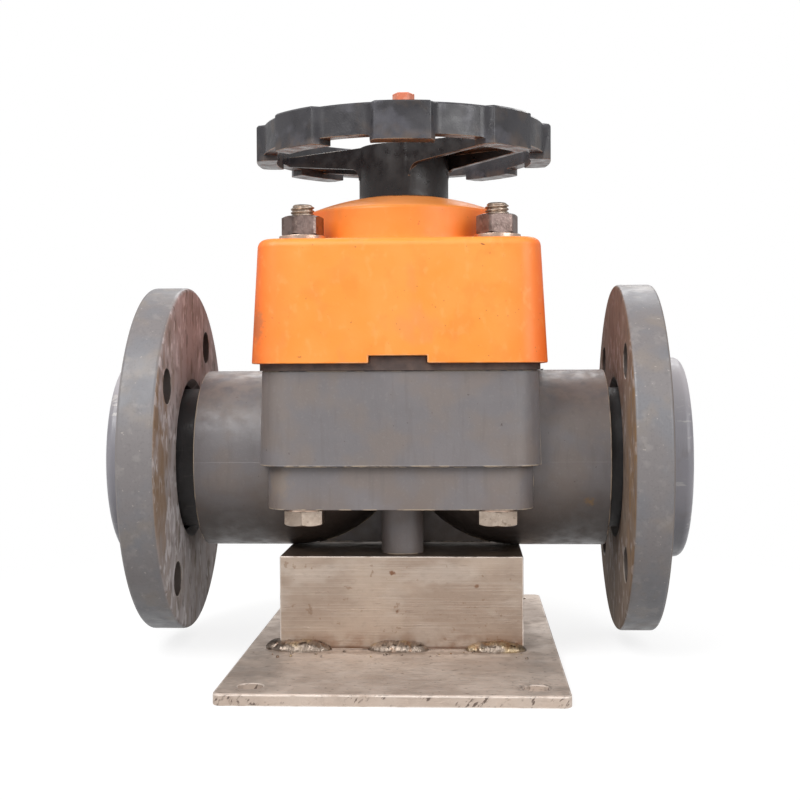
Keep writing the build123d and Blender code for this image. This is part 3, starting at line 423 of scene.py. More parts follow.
def moulded_black_nylon():
    """Glass-filled nylon wheel: satin black greyed by handling, painted shade inside the rim over the spokes
    and hub, brown dust below, lower edges worn pale.
    """
    material, tree, shader = new_material("moulded_black_nylon", IOR=1.53)
    top = wheel_high.z
    underside = zone(tree, "Z", 0.1, -0.5, "Normal")
    below_rim = zone(tree, "Z", top - 13 * MM, top - 19 * MM)
    hub_foot = zone(tree, "Z", wheel_low.z + 26 * MM, wheel_low.z + 4 * MM)
    painted_shade_inside_rim = spot(tree, (0, 0, top / MM - 20), (58, 58, 60), soft=0.25, ragged=0.1)
    lower_rim = zone(tree, "Z", top - 8 * MM, top - 14 * MM)
    facing_up_or_down = zone(tree, "Z", 0.2, 0.45, "Normal", mirrored=True)
    worn_patches = patches(tree, 9, 0.42, 0.55, seed=1)
    skin = coats(
        tree,
        "#3A393D",
        (patches(tree, 24, 0.42, 0.6), 0.6, "#29282C"),
        (patches(tree, 16, 0.5, 0.64, seed=2), 0.5, "#5E5D64"),
        (patches(tree, 11, 0.52, 0.7, seed=3), 0.5, "#51463F"),
        (product(tree, below_rim, patches(tree, 7, 0.4, 0.62)), 0.55, "#66564B"),
        (hub_foot, 0.5, "#393335"),
        # painted shade: the spokes and hub inside the rim are painted near black
        (painted_shade_inside_rim, 0.92, "#191414"),
        (underside, 0.6, "#43362F"),
        (patches(tree, 1.6, 0.7, 0.76), 0.35, "#7A726C"),
        (product(tree, rounded_edges(tree), lower_rim, facing_up_or_down, worn_patches), 0.8, "#A08C79"),
    )
    normal = relief(tree, (waves(tree, 0.7, detail=2), 0.02), (waves(tree, 10), 0.08))
    dress(tree, shader, skin, waves(tree, 7), 0.24, 0.44, normal)
    return material


def orange_indicator_plastic():
    """Small moulded pin, a pinker orange and glossier than the housing."""
    material, tree, shader = new_material("orange_indicator_plastic", IOR=1.5)
    skin = coats(tree, "#D97B5B", (patches(tree, 3, 0.45, 0.7), 0.6, "#E5A189"))
    dress(tree, shader, skin, waves(tree, 3), 0.3, 0.45, relief(tree, (waves(tree, 0.8), 0.02)))
    return material


def sawn_plate_stainless():
    """Hot-rolled stainless plate: warm grey with brown scale, ground pale in strokes, its front edge sawn."""
    material, tree, shader = new_material("sawn_plate_stainless", Metallic=0.75)
    strokes = patches(tree, 0.9, 0.5, 0.72, (26, 1, 1), detail=4)
    front = zone(tree, "Y", -0.5, -0.9, "Normal")
    saw = product(tree, front, patches(tree, 1.3, 0.52, 0.6, (1, 7, 3), turn=(0, radians(38), 0)))
    worn = product(tree, rounded_edges(tree), patches(tree, 9, 0.35, 0.55))
    skin = coats(
        tree,
        "#D3C4B8",
        (patches(tree, 34, 0.42, 0.6), 0.5, "#B2A195"),
        (patches(tree, 12, 0.5, 0.7, (1.8, 1, 1)), 0.45, "#E0D3C9"),
        (strokes, 0.3, "#D3C8BE"),
        (product(tree, strokes, spot(tree, (-12, -115, 5), (34, 16, 9))), 0.85, "#E6DDD5"),
        (product(tree, strokes, spot(tree, (42, -110, 5), (36, 18, 9))), 0.8, "#E2D8CF"),
        (spot(tree, (-66, -95, 5), (14, 54, 9)), 0.4, "#8A7A6F"),
        (spot(tree, (0, -57, 5), (66, 5, 9)), 0.5, "#86705F"),
        (patches(tree, 2.4, 0.5, 0.7, (2, 1, 1), seed=4), 0.25, "#85766B"),
        (spot(tree, (60, -72, 5), (15, 22, 9)), 0.35, "#8C7E75"),
        (spot(tree, (70, 60, 5), (14, 40, 9)), 0.4, "#7C6A5E"),
        (patches(tree, 3, 0.64, 0.7, seed=5), 0.5, "#6F5A4A"),
        (front, 0.5, "#C3B0A1"),
        (product(tree, saw, patches(tree, 9, 0.52, 0.6, seed=2)), 0.85, "#5E4E46"),
        (spot(tree, (64, -129, 5.5), (9, 7, 3), ragged=1.2), 0.7, "#4F4239"),
        (worn, 0.85, "#E8DCD2"),
    )
    normal = relief(tree, (strokes, 0.03), (waves(tree, 12), 0.12), (saw, 0.05))
    dress(tree, shader, skin, waves(tree, 10), 0.5, 0.7, normal)
    return material


def folded_channel_stainless():
    """Rolled stainless channel: warm grey with fine lines along it, brown heat tint by the welds, and painted
    shade, dark brown, on the faces that look up under the valve body.
    """
    material, tree, shader = new_material("folded_channel_stainless", Metallic=1.0)
    lines = patches(tree, 0.7, 0.45, 0.7, (60, 1, 0.8), detail=4)
    scratches = patches(tree, 0.8, 0.64, 0.7, (16, 1, 1), seed=2, turn=(0, radians(-4), 0))
    near_foot = zone(tree, "Z", channel_low.z + 12 * MM, channel_low.z + 2 * MM)
    joint = zone(tree, "Z", channel_low.z + 2.6 * MM, channel_low.z + 0.6 * MM)
    seat = zone(tree, "Z", 0.5, 0.9, "Normal")
    worn = product(tree, rounded_edges(tree), patches(tree, 10, 0.3, 0.5))
    skin = coats(
        tree,
        "#BFAE9F",
        (patches(tree, 36, 0.42, 0.6, (1.6, 1, 1)), 0.6, "#A08D7F"),
        (patches(tree, 14, 0.5, 0.66, (2, 1, 1)), 0.45, "#CFC3B8"),
        (patches(tree, 2.6, 0.5, 0.7, (2, 1, 1), seed=3), 0.16, "#8D7B6D"),
        (lines, 0.16, "#DDD2C8"),
        (scratches, 0.35, "#96857A"),
        (product(tree, near_foot, patches(tree, 11, 0.36, 0.6)), 0.6, "#8A6247"),
        (joint, 0.75, "#5A3B29"),
        (spot(tree, (-4.5, -50, 44.5), (1.6, 5, 1.2)), 0.8, "#7A4A2A"),
        (spot(tree, (-2, -50, 25), (1.1, 5, 1.1)), 0.7, "#7A5236"),
        (spot(tree, (38.5, -50, 38), (1.2, 5, 0.9)), 0.7, "#80583C"),
        (patches(tree, 4, 0.66, 0.72, seed=8), 0.45, "#8A6B52"),
        # painted shade: the faces that look up, under the valve body, are painted dark brown
        (seat, 0.6, "#5F4838"),
        (worn, 0.8, "#E6DCD3"),
    )
    normal = relief(tree, (lines, 0.03), (waves(tree, 12), 0.08), (scratches, 0.03))
    dress(tree, shader, skin, waves(tree, 10), 0.42, 0.58, normal)
    return material


def stick_weld_metal():
    """Stick-welded stainless: rippled grey metal with straw and brown heat tint and spots of black slag."""
    material, tree, shader = new_material("stick_weld_metal", Metallic=1.0)
    slag = patches(tree, 3.0, 0.6, 0.68, (1.8, 1, 1), seed=1)
    skin = coats(
        tree,
        "#8C7F74",
        (patches(tree, 11, 0.5, 0.64, seed=5), 0.5, "#B79F74"),
        (patches(tree, 7, 0.56, 0.68, seed=6), 0.6, "#8A6242"),
        (patches(tree, 2.2, 0.52, 0.7), 0.2, "#C8BCB2"),
        (slag, 0.85, "#3A2C24"),
    )
    dress(tree, shader, skin, waves(tree, 3), 0.32, 0.55, relief(tree, (waves(tree, 1.4), 0.12)))
    return material


def worn_stainless():
    """Cold-formed stainless bolts: tan grey and satin with patches of brown dirt, paler towards the heads."""
    material, tree, shader = new_material("worn_stainless", Metallic=1.0)
    towards_head = zone(tree, "Z", body_high.z - 30 * MM, body_low.z + 22 * MM)
    skin = coats(
        tree,
        "#BDAB9C",
        (patches(tree, 5, 0.45, 0.65), 0.55, "#93806F"),
        (patches(tree, 1.4, 0.52, 0.7), 0.35, "#D8CCC0"),
        (towards_head, 0.35, "#D9CABB"),
        (patches(tree, 2.4, 0.6, 0.7, seed=3), 0.5, "#6F5644"),
    )
    dress(tree, shader, skin, waves(tree, 3), 0.3, 0.5, relief(tree, (waves(tree, 0.8), 0.03)))
    return material


def darkened_nut_steel():
    """Nuts darkened by lubricant and grime: brown grey with brighter patches."""
    material, tree, shader = new_material("darkened_nut_steel", Metallic=1.0)
    skin = coats(
        tree,
        "#8C7A74",
        (patches(tree, 5, 0.45, 0.65), 0.7, "#665650"),
        (patches(tree, 2, 0.56, 0.7), 0.35, "#AD9D94"),
    )
    dress(tree, shader, skin, waves(tree, 3), 0.3, 0.48, relief(tree, (waves(tree, 0.8), 0.03)))
    return material


def pressed_washer_steel():
    """Pressed stainless washers: pale pink grey, smooth, lightly stained."""
    material, tree, shader = new_material("pressed_washer_steel", Metallic=1.0)
    skin = coats(
        tree,
        "#D5BBAA",
        (patches(tree, 6, 0.45, 0.65), 0.5, "#A88A78"),
        (patches(tree, 1.5, 0.55, 0.7), 0.3, "#E8DAD0"),
    )
    dress(tree, shader, skin, waves(tree, 3), 0.28, 0.45, relief(tree, (waves(tree, 0.8), 0.02)))
    return material


def dusty_rubber():
    """Moulded rubber: nearly black and dull, with patches of brown dust."""
    material, tree, shader = new_material("dusty_rubber", IOR=1.52)
    skin = coats(
        tree,
        "#4B3D39",
        (patches(tree, 8, 0.4, 0.65), 0.6, "#665248"),
        (patches(tree, 2.5, 0.6, 0.7), 0.4, "#2C2523"),
    )
    dress(tree, shader, skin, waves(tree, 5), 0.55, 0.75, relief(tree, (waves(tree, 0.8), 0.02)))
    return material


def turned_brass():
    """Turned brass with fine tool marks around it."""
    material, tree, shader = new_material("turned_brass", Metallic=1.0)
    marks = waves(tree, 0.5, (12, 12, 0.5), detail=2)
    skin = coats(tree, "#C9A564", (patches(tree, 6, 0.4, 0.65), 0.5, "#AD8847"))
    dress(tree, shader, skin, waves(tree, 4), 0.22, 0.4, relief(tree, (marks, 0.01)))
    return material


def ground_spindle_steel():
    """Ground and greased spindle steel, bright and fairly smooth."""
    material, tree, shader = new_material("ground_spindle_steel", Metallic=1.0)
    marks = waves(tree, 0.5, (12, 12, 0.5), detail=2)
    skin = coats(tree, "#C9C6C1", (patches(tree, 7, 0.45, 0.65), 0.5, "#A39C92"))
    dress(tree, shader, skin, waves(tree, 4), 0.18, 0.36, relief(tree, (marks, 0.01)))
    return material


def cast_aluminium():
    """Die-cast aluminium, light grey with a fine sandy skin."""
    material, tree, shader = new_material("cast_aluminium", Metallic=1.0)
    skin = coats(tree, "#B9B8B6", (patches(tree, 6, 0.4, 0.65), 0.5, "#97948F"))
    dress(tree, shader, skin, waves(tree, 3), 0.42, 0.6, relief(tree, (waves(tree, 0.7), 0.06)))
    return material


def bearing_plastic():
    """Plain bearing plastic, off-white and slightly waxy."""
    material, tree, shader = new_material("bearing_plastic", IOR=1.41)
    skin = coats(tree, "#DEDBD1", (patches(tree, 5, 0.4, 0.65), 0.5, "#C9C4B4"))
    dress(tree, shader, skin, waves(tree, 3), 0.35, 0.5, relief(tree, (waves(tree, 0.8), 0.01)))
    return material


grey_pvc = moulded_grey_pvc()
ring_pvc_left = turned_grey_pvc("turned_grey_pvc_streaked", "#A29B9B", browned=0.55, streaked=0.6)
# The right ring's face colour is partly brown stain and partly painted shadow of the valve's tube.
ring_pvc_right = turned_grey_pvc("turned_grey_pvc_stained_and_shaded", "#6E5B4C", browned=0.6, streaked=0.3)
collar_pvc = collar_grey_pvc()
orange = faded_orange_plastic()
black = moulded_black_nylon()
indicator_orange = orange_indicator_plastic()
plate_steel = sawn_plate_stainless()
channel_steel = folded_channel_stainless()
weld_metal = stick_weld_metal()
bolt_steel = worn_stainless()
nut_steel = darkened_nut_steel()
washer_steel = pressed_washer_steel()
rubber = dusty_rubber()
brass = turned_brass()
spindle_steel = ground_spindle_steel()
aluminium = cast_aluminium()
washer_plastic = bearing_plastic()


# Building pieces

def make_object(name, bm):
    """An object at the origin from a bmesh, which it frees."""
    mesh = bpy.data.meshes.new(name)
    bm.to_mesh(mesh)
    bm.free()
    piece = bpy.data.objects.new(name, mesh)
    bpy.context.scene.collection.objects.link(piece)
    return piece


def finish_piece(name, bm, body, material, replaced, smooth_below=30):
    """Makes the object, shades it smooth below an angle in degrees, and says what it is part of.
    A piece given no body rides on none."""
    piece = make_object(name, bm)
    piece.data.materials.append(material)
    piece.data.shade_smooth()
    piece.data.set_sharp_from_angle(angle=radians(smooth_below))
    weighted = piece.modifiers.new("flat faces stay flat", "WEIGHTED_NORMAL")
    weighted.keep_sharp = True
    if body:
        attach(piece, body)
    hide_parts(replaced)
    return piece


def everything(bm):
    """All the vertices, edges and faces of a bmesh."""
    return bm.verts[:] + bm.edges[:] + bm.faces[:]


def cad_mesh(node):
    """A merged copy of a CAD node's mesh, with its flat faces whole again."""
    bm = bmesh.new()
    bm.from_mesh(nodes[node].data)
    bmesh.ops.remove_doubles(bm, verts=bm.verts, dist=merge_distance)
    bmesh.ops.dissolve_limit(bm, angle_limit=radians(0.05), verts=bm.verts, edges=bm.edges)
    return bm


def round_edges(bm, width, least_angle=50, chosen=lambda edge: True):
    """Rounds the chosen edges that turn by more than least_angle degrees, and marks their faces for wear."""
    wear = bm.faces.layers.float.new("edge")
    sharp = [
        e for e in bm.edges
        if len(e.link_faces) == 2
        and e.calc_face_angle(0) > radians(least_angle)
        and chosen(e)
    ]
    rounded = bmesh.ops.bevel(
        bm,
        geom=sharp,
        offset=width,
        affect="EDGES",
        segments=2,
        profile=0.5,
        material=-1,
        clamp_overlap=False,
    )
    for face in rounded["faces"]:
        face[wear] = 1.0


def outside_bonnet(edge):
    """Whether an edge lies on the bonnet's outer walls, top or dome, and not in its cavity or bore."""
    return all(
        max(abs(v.co.x), abs(v.co.y)) > bonnet_wall_inside
        or (v.co.z > bonnet_cavity_top and v.co.xy.length > bonnet_cavity_radius)
        for v in edge.verts
    )


def rounded_copy(name, node, body, slot, material, width, **choice):
    """A copy of a CAD node with its sharp edges rounded; choice goes to round_edges."""
    bm = cad_mesh(node)
    round_edges(bm, width, **choice)
    return finish_piece(name, bm, body, material, node)


def combined(bm, tool, operation):
    """The shape with the tool's volume taken out, or only what lies inside it."""
    blank = make_object("blank", bm)
    other = make_object("tool", tool)
    cut = blank.modifiers.new("cut", "BOOLEAN")
    cut.object = other
    cut.operation = operation
    cut.solver = "EXACT"
    bpy.context.view_layer.update()
    evaluated = blank.evaluated_get(bpy.context.evaluated_depsgraph_get())
    result = bmesh.new()
    result.from_mesh(evaluated.to_mesh())
    evaluated.to_mesh_clear()
    for spent in (blank, other):
        bpy.data.objects.remove(spent)
    return result


def turned(outline, rounded, radius, steps=128):
    """Spins a closed outline of (x, distance from the pipe axis) about that axis; some corners are round."""
    bm = bmesh.new()
    corners = [bm.verts.new((x, 0, pipe_level + distance)) for x, distance in outline]
    bm.faces.new(corners)
    bmesh.ops.bevel(
        bm,
        geom=[corners[i] for i in rounded],
        offset=radius,
        affect="VERTICES",
        segments=5,
        profile=0.5,
        material=-1,
    )
    bmesh.ops.delete(bm, geom=bm.faces[:], context="FACES_ONLY")
    bmesh.ops.spin(
        bm,
        geom=bm.verts[:] + bm.edges[:],
        cent=(0, 0, pipe_level),
        axis=(1, 0, 0),
        angle=2 * pi,
        steps=steps,
        use_merge=True,
    )
    bmesh.ops.recalc_face_normals(bm, faces=bm.faces)
    return bm


def pillar(radius, low, high, centre=(0, 0), along="Z"):
    """A plain round bar to cut with."""
    bm = bmesh.new()
    bmesh.ops.create_cone(bm, cap_ends=True, segments=48, radius1=radius, radius2=radius, depth=high - low)
    place = Matrix.Translation((centre[0], centre[1], (low + high) / 2))
    if along == "X":
        place = Matrix.Translation(((low + high) / 2, centre[0], centre[1])) @ Matrix.Rotation(pi / 2, 4, "Y")
    bm.transform(place)
    return bm


def flange_ring(name, node, body, material, turn):
    """A loose drilled ring; its bore is chamfered on the side that faces the valve."""
    low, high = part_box(node)
    near, far = (high.x, low.x) if high.x < 0 else (low.x, high.x)
    inward = flange_bore_chamfer if far > near else -flange_bore_chamfer
    outer = (high.z - low.z) / 2
    outline = [
        (near, flange_bore_radius + flange_bore_chamfer),
        (near, outer),
        (far, outer),
        (far, flange_bore_radius),
        (near + inward, flange_bore_radius),
    ]
    bm = turned(outline, (1, 2), flange_rim_round)
    for number in range(flange_hole_count):
        angle = radians(turn + number * 360 / flange_hole_count)
        centre = (flange_hole_circle * cos(angle), pipe_level + flange_hole_circle * sin(angle))
        drill = pillar(flange_hole_radius, low.x - 5 * overrun, high.x + 5 * overrun, centre, along="X")
        bm = combined(bm, drill, "DIFFERENCE")
    round_edges(bm, flange_edge_round)
    return finish_piece(name, bm, body, material, node)


def adaptor(name, node, spigot_end, face):
    """A glued spigot with a rounded collar and its gasket grooves."""
    low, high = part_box(node)
    collar_radius = (high.z - low.z) / 2
    inward = 1 if face < 0 else -1
    shoulder = face + inward * collar_thickness
    groove_floor = face + inward * groove_depth
    outline = [
        (spigot_end, port_radius),
        (spigot_end, pipe_radius),
        (shoulder, pipe_radius),
        (shoulder, collar_radius),
        (face, collar_radius),
    ]
    for radius in reversed(groove_radii):
        outline += [
            (face, radius + groove_width / 2),
            (groove_floor, radius + groove_width / 2),
            (groove_floor, radius - groove_width / 2),
            (face, radius - groove_width / 2),
        ]
    outline.append((face, port_radius))
    bm = turned(outline, (4,), collar_edge_round)
    return finish_piece(name, bm, "valve", collar_pvc, node)


def grow_rings(rings, segments):
    """A closed shape from ring to ring; each maps an angle about Z to a radius and a height."""
    bm = bmesh.new()
    verts = bmesh.ops.create_circle(bm, cap_ends=False, segments=segments, radius=1.0)["verts"]
    for number, ring in enumerate(rings):
        if number:
            edges = [e for e in bm.edges if e.verts[0] in verts and e.verts[1] in verts]
            grown = bmesh.ops.extrude_edge_only(bm, edges=edges)["geom"]
            verts = [g for g in grown if isinstance(g, bmesh.types.BMVert)]
        for vert in verts:
            angle = atan2(vert.co.y, vert.co.x)
            radius, height = ring(angle)
            vert.co = (radius * cos(angle), radius * sin(angle), height)
    bmesh.ops.holes_fill(bm, edges=bm.edges)
    bmesh.ops.recalc_face_normals(bm, faces=bm.faces)
    return bm


def hexagon_rings(corner_turn, low, high, low_chamfered, high_chamfered):
    """Rings of a hexagonal head or nut whose corners a shallow cone has cut at its chosen ends.
    A corner of the hexagon lies at corner_turn degrees."""
    def side(angle):
        from_middle = (angle - radians(corner_turn)) % (pi / 3) - pi / 6
        return hexagon_flats / 2 / cos(from_middle)

    def cut(angle):
        return hexagon_chamfer_slope * (side(angle) - hexagon_chamfer_radius)

    rings = []
    if low_chamfered:
        rings.append(lambda angle: (hexagon_chamfer_radius, low))
        rings.append(lambda angle: (side(angle), low + cut(angle)))
    else:
        rings.append(lambda angle: (side(angle), low))
    if high_chamfered:
        rings.append(lambda angle: (side(angle), high - cut(angle)))
        rings.append(lambda angle: (hexagon_chamfer_radius, high))
    else:
        rings.append(lambda angle: (side(angle), high))
    return rings


def merge_into(bm, part, place):
    """Adds a shape to another at a place, and frees it."""
    part.transform(place)
    mesh = bpy.data.meshes.new("part")
    part.to_mesh(mesh)
    part.free()
    bm.from_mesh(mesh)
    bpy.data.meshes.remove(mesh)


def thread_ridge(low, high):
    """One helical ridge with a flat crest, a closed bar of four sides, its root sunk in the bolt."""
    root = bolt_radius - thread_depth - 0.1 * MM
    half = thread_pitch / 2
    crest = 0.14 * thread_pitch
    steps_per_turn = 28
    turns = int((high - low) / thread_pitch)
    bm = bmesh.new()
    start = [
        bm.verts.new((root, 0, low - half)),
        bm.verts.new((bolt_radius, 0, low - crest)),
        bm.verts.new((bolt_radius, 0, low + crest)),
        bm.verts.new((root, 0, low + half)),
    ]
    bm.faces.new(start)
    bmesh.ops.spin(
        bm,
        geom=everything(bm),
        cent=(0, 0, 0),
        axis=(0, 0, 1),
        dvec=(0, 0, thread_pitch / steps_per_turn),
        angle=2 * pi * turns,
        steps=steps_per_turn * turns,
    )
    bmesh.ops.recalc_face_normals(bm, faces=bm.faces)
    return bm


def hexagon_bolts():
    """Four bolts, heads down, each with its shank and a cut thread at its end."""
    bolts = bmesh.new()
    seat = head_washer_low.z
    root = bolt_radius - thread_depth
    rings = hexagon_rings(head_turn, bolt_low.z, seat, low_chamfered=True, high_chamfered=False)
    rings += [
        lambda angle: (bolt_radius, seat),
        lambda angle: (bolt_radius, thread_start),
        lambda angle: (root, thread_start + 1 * MM),
        lambda angle: (root, bolt_high.z - bolt_tip_chamfer),
        lambda angle: (root - bolt_tip_chamfer, bolt_high.z),
    ]
    for place in bolt_places:
        merge_into(bolts, grow_rings(rings, segments=48), place)
        merge_into(bolts, thread_ridge(nut_high.z - 6 * MM, bolt_high.z - 0.7 * MM), place)
    return bolts


def hexagon_nuts():
    """Four nuts, chamfered on both faces, bored for their bolts."""
    nuts = bmesh.new()
    rings = hexagon_rings(nut_turn, nut_low.z, nut_high.z, low_chamfered=True, high_chamfered=True)
    for place in bolt_places:
        bore = pillar(bolt_radius + nut_bore_gap, nut_low.z - overrun, nut_high.z + overrun)
        merge_into(nuts, combined(grow_rings(rings, segments=72), bore, "DIFFERENCE"), place)
    return nuts


def weld_bead(length, seed):
    """A lumpy rippled bead along X, tapering to its ends; its hidden sides, +Y and below, are sunk flat."""
    bm = bmesh.new()
    bmesh.ops.create_cone(bm, cap_ends=True, segments=24, radius1=1.0, radius2=1.0, depth=2.0)
    bm.transform(Matrix.Rotation(pi / 2, 4, "Y"))
    along = [e for e in bm.edges if abs(e.verts[0].co.x - e.verts[1].co.x) > 1.0]
    bmesh.ops.subdivide_edges(bm, edges=along, cuts=int(length / weld_slice), use_grid_fill=True)
    for vert in bm.verts:
        t, y, z = vert.co
        around = atan2(z, y)
        x = t * length / 2
        taper = (1 - abs(t) ** 3) ** 0.6 if abs(t) < 1 else 0.0
        swell = 1 + 0.16 * noise.noise(Vector((x / (5 * MM), seed, 0)))
        streaks = 0.07 * noise.noise(Vector((x / (7 * MM), around * 5, seed)))
        lumps = 0.09 * noise.noise(Vector((x / (2.2 * MM), around * 1.5, seed + 5)))
        ripple = 0.014 * sin(2 * pi * (x / weld_ripple_pitch + 0.8 * cos(around + radians(135))))
        radius = weld_radius * max(0.02, taper) * (swell + streaks + lumps + ripple)
        vert.co = (x, min(1.2 * radius * y, weld_sunk), max(0.8 * radius * z, -weld_sunk))
    return bm


def stick_welds():
    """Three beads at each foot of the channel, one returned round its end, with spatter beside them."""
    welds = bmesh.new()
    middle = (weld_low.x + weld_high.x) / 2
    for side in (-1, 1):
        for stitch in (-1, 0, 1):
            foot = Matrix.Translation((middle + stitch * weld_pitch, side * channel_high.y, plate_top))
            facing = Matrix.Rotation(pi if side > 0 else 0, 4, "Z")
            merge_into(welds, weld_bead(weld_length, seed=3.7 * stitch + side), foot @ facing)
    corner = Matrix.Translation((channel_low.x - 0.2 * MM, channel_low.y + 3.5 * MM, plate_top))
    merge_into(welds, weld_bead(weld_return_length, seed=9.0), corner @ Matrix.Rotation(-pi / 2, 4, "Z"))
    chance = random.Random(11)
    for drop in range(spatter_drops):
        x = chance.uniform(weld_low.x, weld_high.x)
        y = channel_low.y - chance.uniform(5, 20) * MM
        size = chance.uniform(0.35, 0.9) * MM
        bead = bmesh.new()
        bmesh.ops.create_uvsphere(bead, u_segments=12, v_segments=8, radius=size)
        merge_into(welds, bead, Matrix.Translation((x, y, plate_top + size * 0.3)))
    return welds


# The CAD pieces whose shape is right keep it, with their sharp edges rounded
rounded_copy("moulded_body", "valve_body", "valve", "grey_pvc", grey_pvc, 0.6 * MM)
rounded_copy("moulded_bonnet", "bonnet", "valve", "orange_plastic", orange, 0.6 * MM, chosen=outside_bonnet)
rounded_copy("moulded_wheel", "handwheel", "handwheel", "black_plastic", black, 0.4 * MM)
rounded_copy("sawn_plate", "base_plate", "valve", "stainless_steel", plate_steel, 0.5 * MM, least_angle=30)
rounded_copy("folded_channel", "bracket_channel", "valve", "stainless_steel", channel_steel, 0.6 * MM)
rounded_copy("pressed_nut_washers", "nut_washers", "valve", "stainless_steel", washer_steel, 0.25 * MM)
rounded_copy("pressed_head_washers", "head_washers", "valve", "stainless_steel", washer_steel, 0.2 * MM)

# Turned and threaded pieces
flange_ring("turned_flange_left", "backing_flange_left", "flange_left", ring_pvc_left, flange_left_turn)
flange_ring("turned_flange_right", "backing_flange_right", "flange_right", ring_pvc_right, flange_right_turn)
left_low, left_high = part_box("flange_adaptor_left")
right_low, right_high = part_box("flange_adaptor_right")
adaptor("glued_adaptor_left", "flange_adaptor_left", spigot_end=left_high.x, face=left_low.x)
adaptor("glued_adaptor_right", "flange_adaptor_right", spigot_end=right_low.x, face=right_high.x)
finish_piece("threaded_bolts", hexagon_bolts(), "valve", bolt_steel, "bonnet_bolts")
finish_piece("hexagon_nuts", hexagon_nuts(), "valve", nut_steel, "bonnet_nuts")
finish_piece(
    "stick_welds", stick_welds(), "valve", weld_metal, "weld_beads", smooth_below=60
)


# The diaphragm: a clamped rim that stays, and a membrane cut into sectors that ride on no body

def membrane_sector(number):
    """One sector of the diaphragm inside the clamped rim, cut across so that it can bend."""
    step = 2 * pi / membrane_sectors
    middle = number * step
    first = middle - step / 2
    wedge = bmesh.new()
    corners = [(0, rubber_low.z - overrun), (membrane_outer, rubber_low.z - overrun)]
    corners += [(membrane_outer, rubber_high.z + overrun), (0, rubber_high.z + overrun)]
    wedge.faces.new([wedge.verts.new((r * cos(first), r * sin(first), z)) for r, z in corners])
    bmesh.ops.spin(wedge, geom=everything(wedge), cent=(0, 0, 0), axis=(0, 0, 1), angle=step, steps=4)
    bmesh.ops.remove_doubles(wedge, verts=wedge.verts, dist=10 * merge_distance)
    bmesh.ops.recalc_face_normals(wedge, faces=wedge.faces)
    sector = combined(cad_mesh("diaphragm"), wedge, "INTERSECT")
    direction = Vector((cos(middle), sin(middle), 0))
    for cut in range(membrane_cuts + 1):
        distance = membrane_inner + (membrane_outer - membrane_inner) * cut / membrane_cuts
        bmesh.ops.bisect_plane(
            sector,
            geom=everything(sector),
            dist=merge_distance,
            plane_co=direction * distance,
            plane_no=direction,
        )
    piece = finish_piece(f"membrane_sector_{number}", sector, None, rubber, "diaphragm")
    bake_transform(piece)


hole = pillar(membrane_outer, rubber_low.z - overrun, rubber_high.z + overrun)
rim = combined(cad_mesh("diaphragm"), hole, "DIFFERENCE")
finish_piece("clamped_rubber_rim", rim, "valve", rubber, "diaphragm")
for sector_number in range(membrane_sectors):
    membrane_sector(sector_number)

# CAD pieces that keep their own mesh and get a finish
carried_over = {
    "bracket_screws": bolt_steel,
    "bracket_washers": washer_steel,
    "mounting_inserts": brass,
    "diaphragm_stud": spindle_steel,
    "compressor": aluminium,
    "stem": spindle_steel,
    "compressor_pin": spindle_steel,
    "position_indicator": indicator_orange,
    "thread_bush": brass,
    "thrust_washer_upper": washer_plastic,
    "thrust_washer_lower": washer_plastic,
    "retaining_ring": spindle_steel,
    "bush_seal": rubber,
    "wheel_ring": spindle_steel,
    "hub_cap": black,
}
for node_name, material in carried_over.items():
    mesh = nodes[node_name].data
    mesh.materials.clear()
    mesh.materials.append(material)


# Stage, camera and light

def pale_floor():
    """A matt white sheet that brightens into the background away from the object."""
    material = bpy.data.materials.new("pale_floor")
    material.use_nodes = True
    tree = material.node_tree
    tree.nodes.clear()
    coordinates = add_node(tree, "ShaderNodeTexCoord")
    distance = add_node(tree, "ShaderNodeVectorMath", {0: coordinates.outputs["Object"]}, operation="LENGTH")
    fade = ramp(tree, distance.outputs["Value"], 0.1, 0.4)
    path = add_node(tree, "ShaderNodeLightPath")
    seen = path.outputs["Is Camera Ray"]
    for ray in ("Is Glossy Ray", "Is Transmission Ray"):
        either = add_node(tree, "ShaderNodeMath", {0: seen, 1: path.outputs[ray]}, operation="MAXIMUM")
        seen = either.outputs[0]
    sheet = add_node(tree, "ShaderNodeBsdfDiffuse", {"Color": colour("#8E8E8E")})
    glow = add_node(tree, "ShaderNodeEmission", {"Strength": product(tree, seen, 0.78)})
    near = add_node(tree, "ShaderNodeAddShader", {0: sheet.outputs[0], 1: glow.outputs[0]})
    white = add_node(tree, "ShaderNodeEmission", {"Strength": 1.0})
    far = product(tree, fade, seen)
    mixed = add_node(tree, "ShaderNodeMixShader", {0: far, 1: near.outputs[0], 2: white.outputs[0]})
    add_node(tree, "ShaderNodeOutputMaterial", {"Surface": mixed.outputs[0]})
    return material


def lay_floor():
    """A wide round sheet at the height of the object's foot."""
    bm = bmesh.new()
    bmesh.ops.create_circle(bm, cap_ends=True, segments=64, radius=6.0)
    floor = make_object("floor", bm)
    floor.data.materials.append(pale_floor())


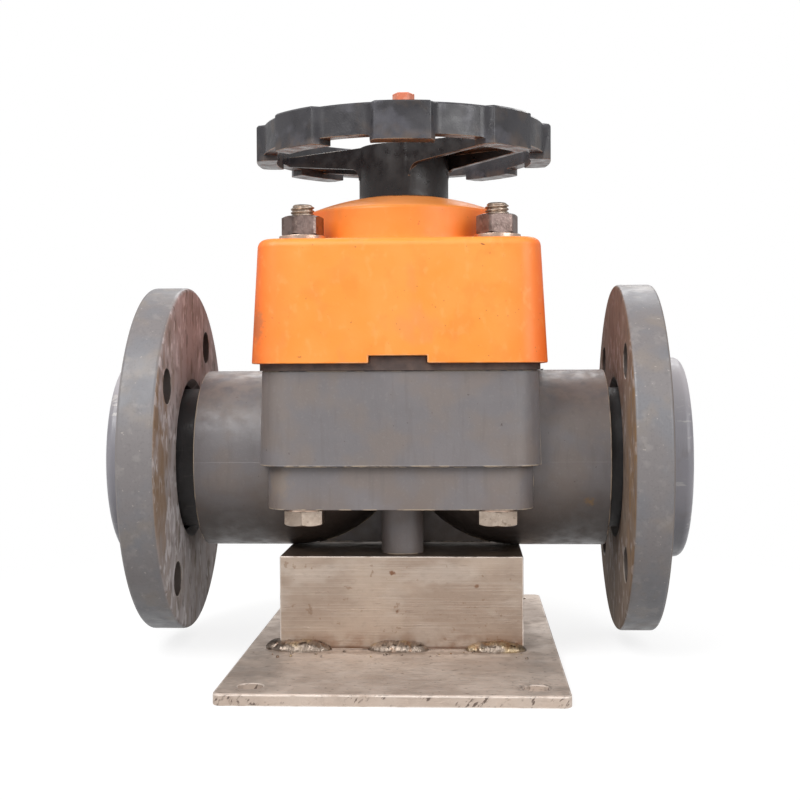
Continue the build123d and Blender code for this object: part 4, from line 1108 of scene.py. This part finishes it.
def light_world():
    """White wherever the camera looks, and a plain level of light on the object."""
    world = bpy.data.worlds.new("studio")
    bpy.context.scene.world = world
    world.use_nodes = True
    tree = world.node_tree
    tree.nodes.clear()
    path = add_node(tree, "ShaderNodeLightPath")
    seen = add_node(
        tree,
        "ShaderNodeMath",
        {0: path.outputs["Is Camera Ray"], 1: path.outputs["Is Transmission Ray"]},
        operation="MAXIMUM",
    )
    level = add_node(tree, "ShaderNodeMapRange", {"Value": seen.outputs[0], "To Min": 0.54, "To Max": 1.0})
    sky = add_node(tree, "ShaderNodeBackground", {"Color": colour("#FFFFFF"), "Strength": level.outputs[0]})
    add_node(tree, "ShaderNodeOutputWorld", {"Surface": sky.outputs[0]})


def area_light(name, place, aim, width, height, power):
    """A soft lamp of a width and height in metres and a power in watts, aimed at a point."""
    lamp = bpy.data.lights.new(name, "AREA")
    lamp.shape = "RECTANGLE"
    lamp.size = width
    lamp.size_y = height
    lamp.energy = power
    light = bpy.data.objects.new(name, lamp)
    bpy.context.scene.collection.objects.link(light)
    light.location = place
    light.rotation_euler = (Vector(aim) - Vector(place)).to_track_quat("-Z", "Y").to_euler()


def place_camera():
    """Stands where the photograph was taken: level with the valve and a little right of its middle."""
    stand = Vector((0.03354, -0.72034, 0.14588))
    forward = Vector((-0.05014, 0.99855, -0.01984)).normalized()
    roll = radians(-0.271)
    # Both in the photograph's pixels
    focal_length = 1324.8
    photo_width = 800.0
    camera = bpy.data.cameras.new("camera")
    camera.sensor_width = 36.0
    camera.lens = camera.sensor_width * focal_length / photo_width
    camera.clip_start = 0.05
    viewer = bpy.data.objects.new("camera", camera)
    bpy.context.scene.collection.objects.link(viewer)
    right = forward.cross(Vector((0, 0, 1))).normalized()
    up = right.cross(forward)
    side = right * cos(roll) + up * sin(roll)
    top = up * cos(roll) - right * sin(roll)
    axes = Matrix((side, top, -forward)).transposed()
    viewer.matrix_world = Matrix.Translation(stand) @ axes.to_4x4()
    bpy.context.scene.camera = viewer


lay_floor()
light_world()
area_light("key", place=(-0.6, -0.8, 1.1), aim=(0, 0, 0.12), width=0.9, height=0.9, power=15.0)
area_light("fill", place=(0.9, -0.9, 0.7), aim=(0, 0, 0.12), width=0.8, height=0.8, power=8.0)
area_light("back", place=(0.1, 0.9, 0.9), aim=(0, 0, 0.15), width=0.9, height=0.5, power=5.0)
place_camera()
bpy.context.scene.view_settings.view_transform = "Standard"
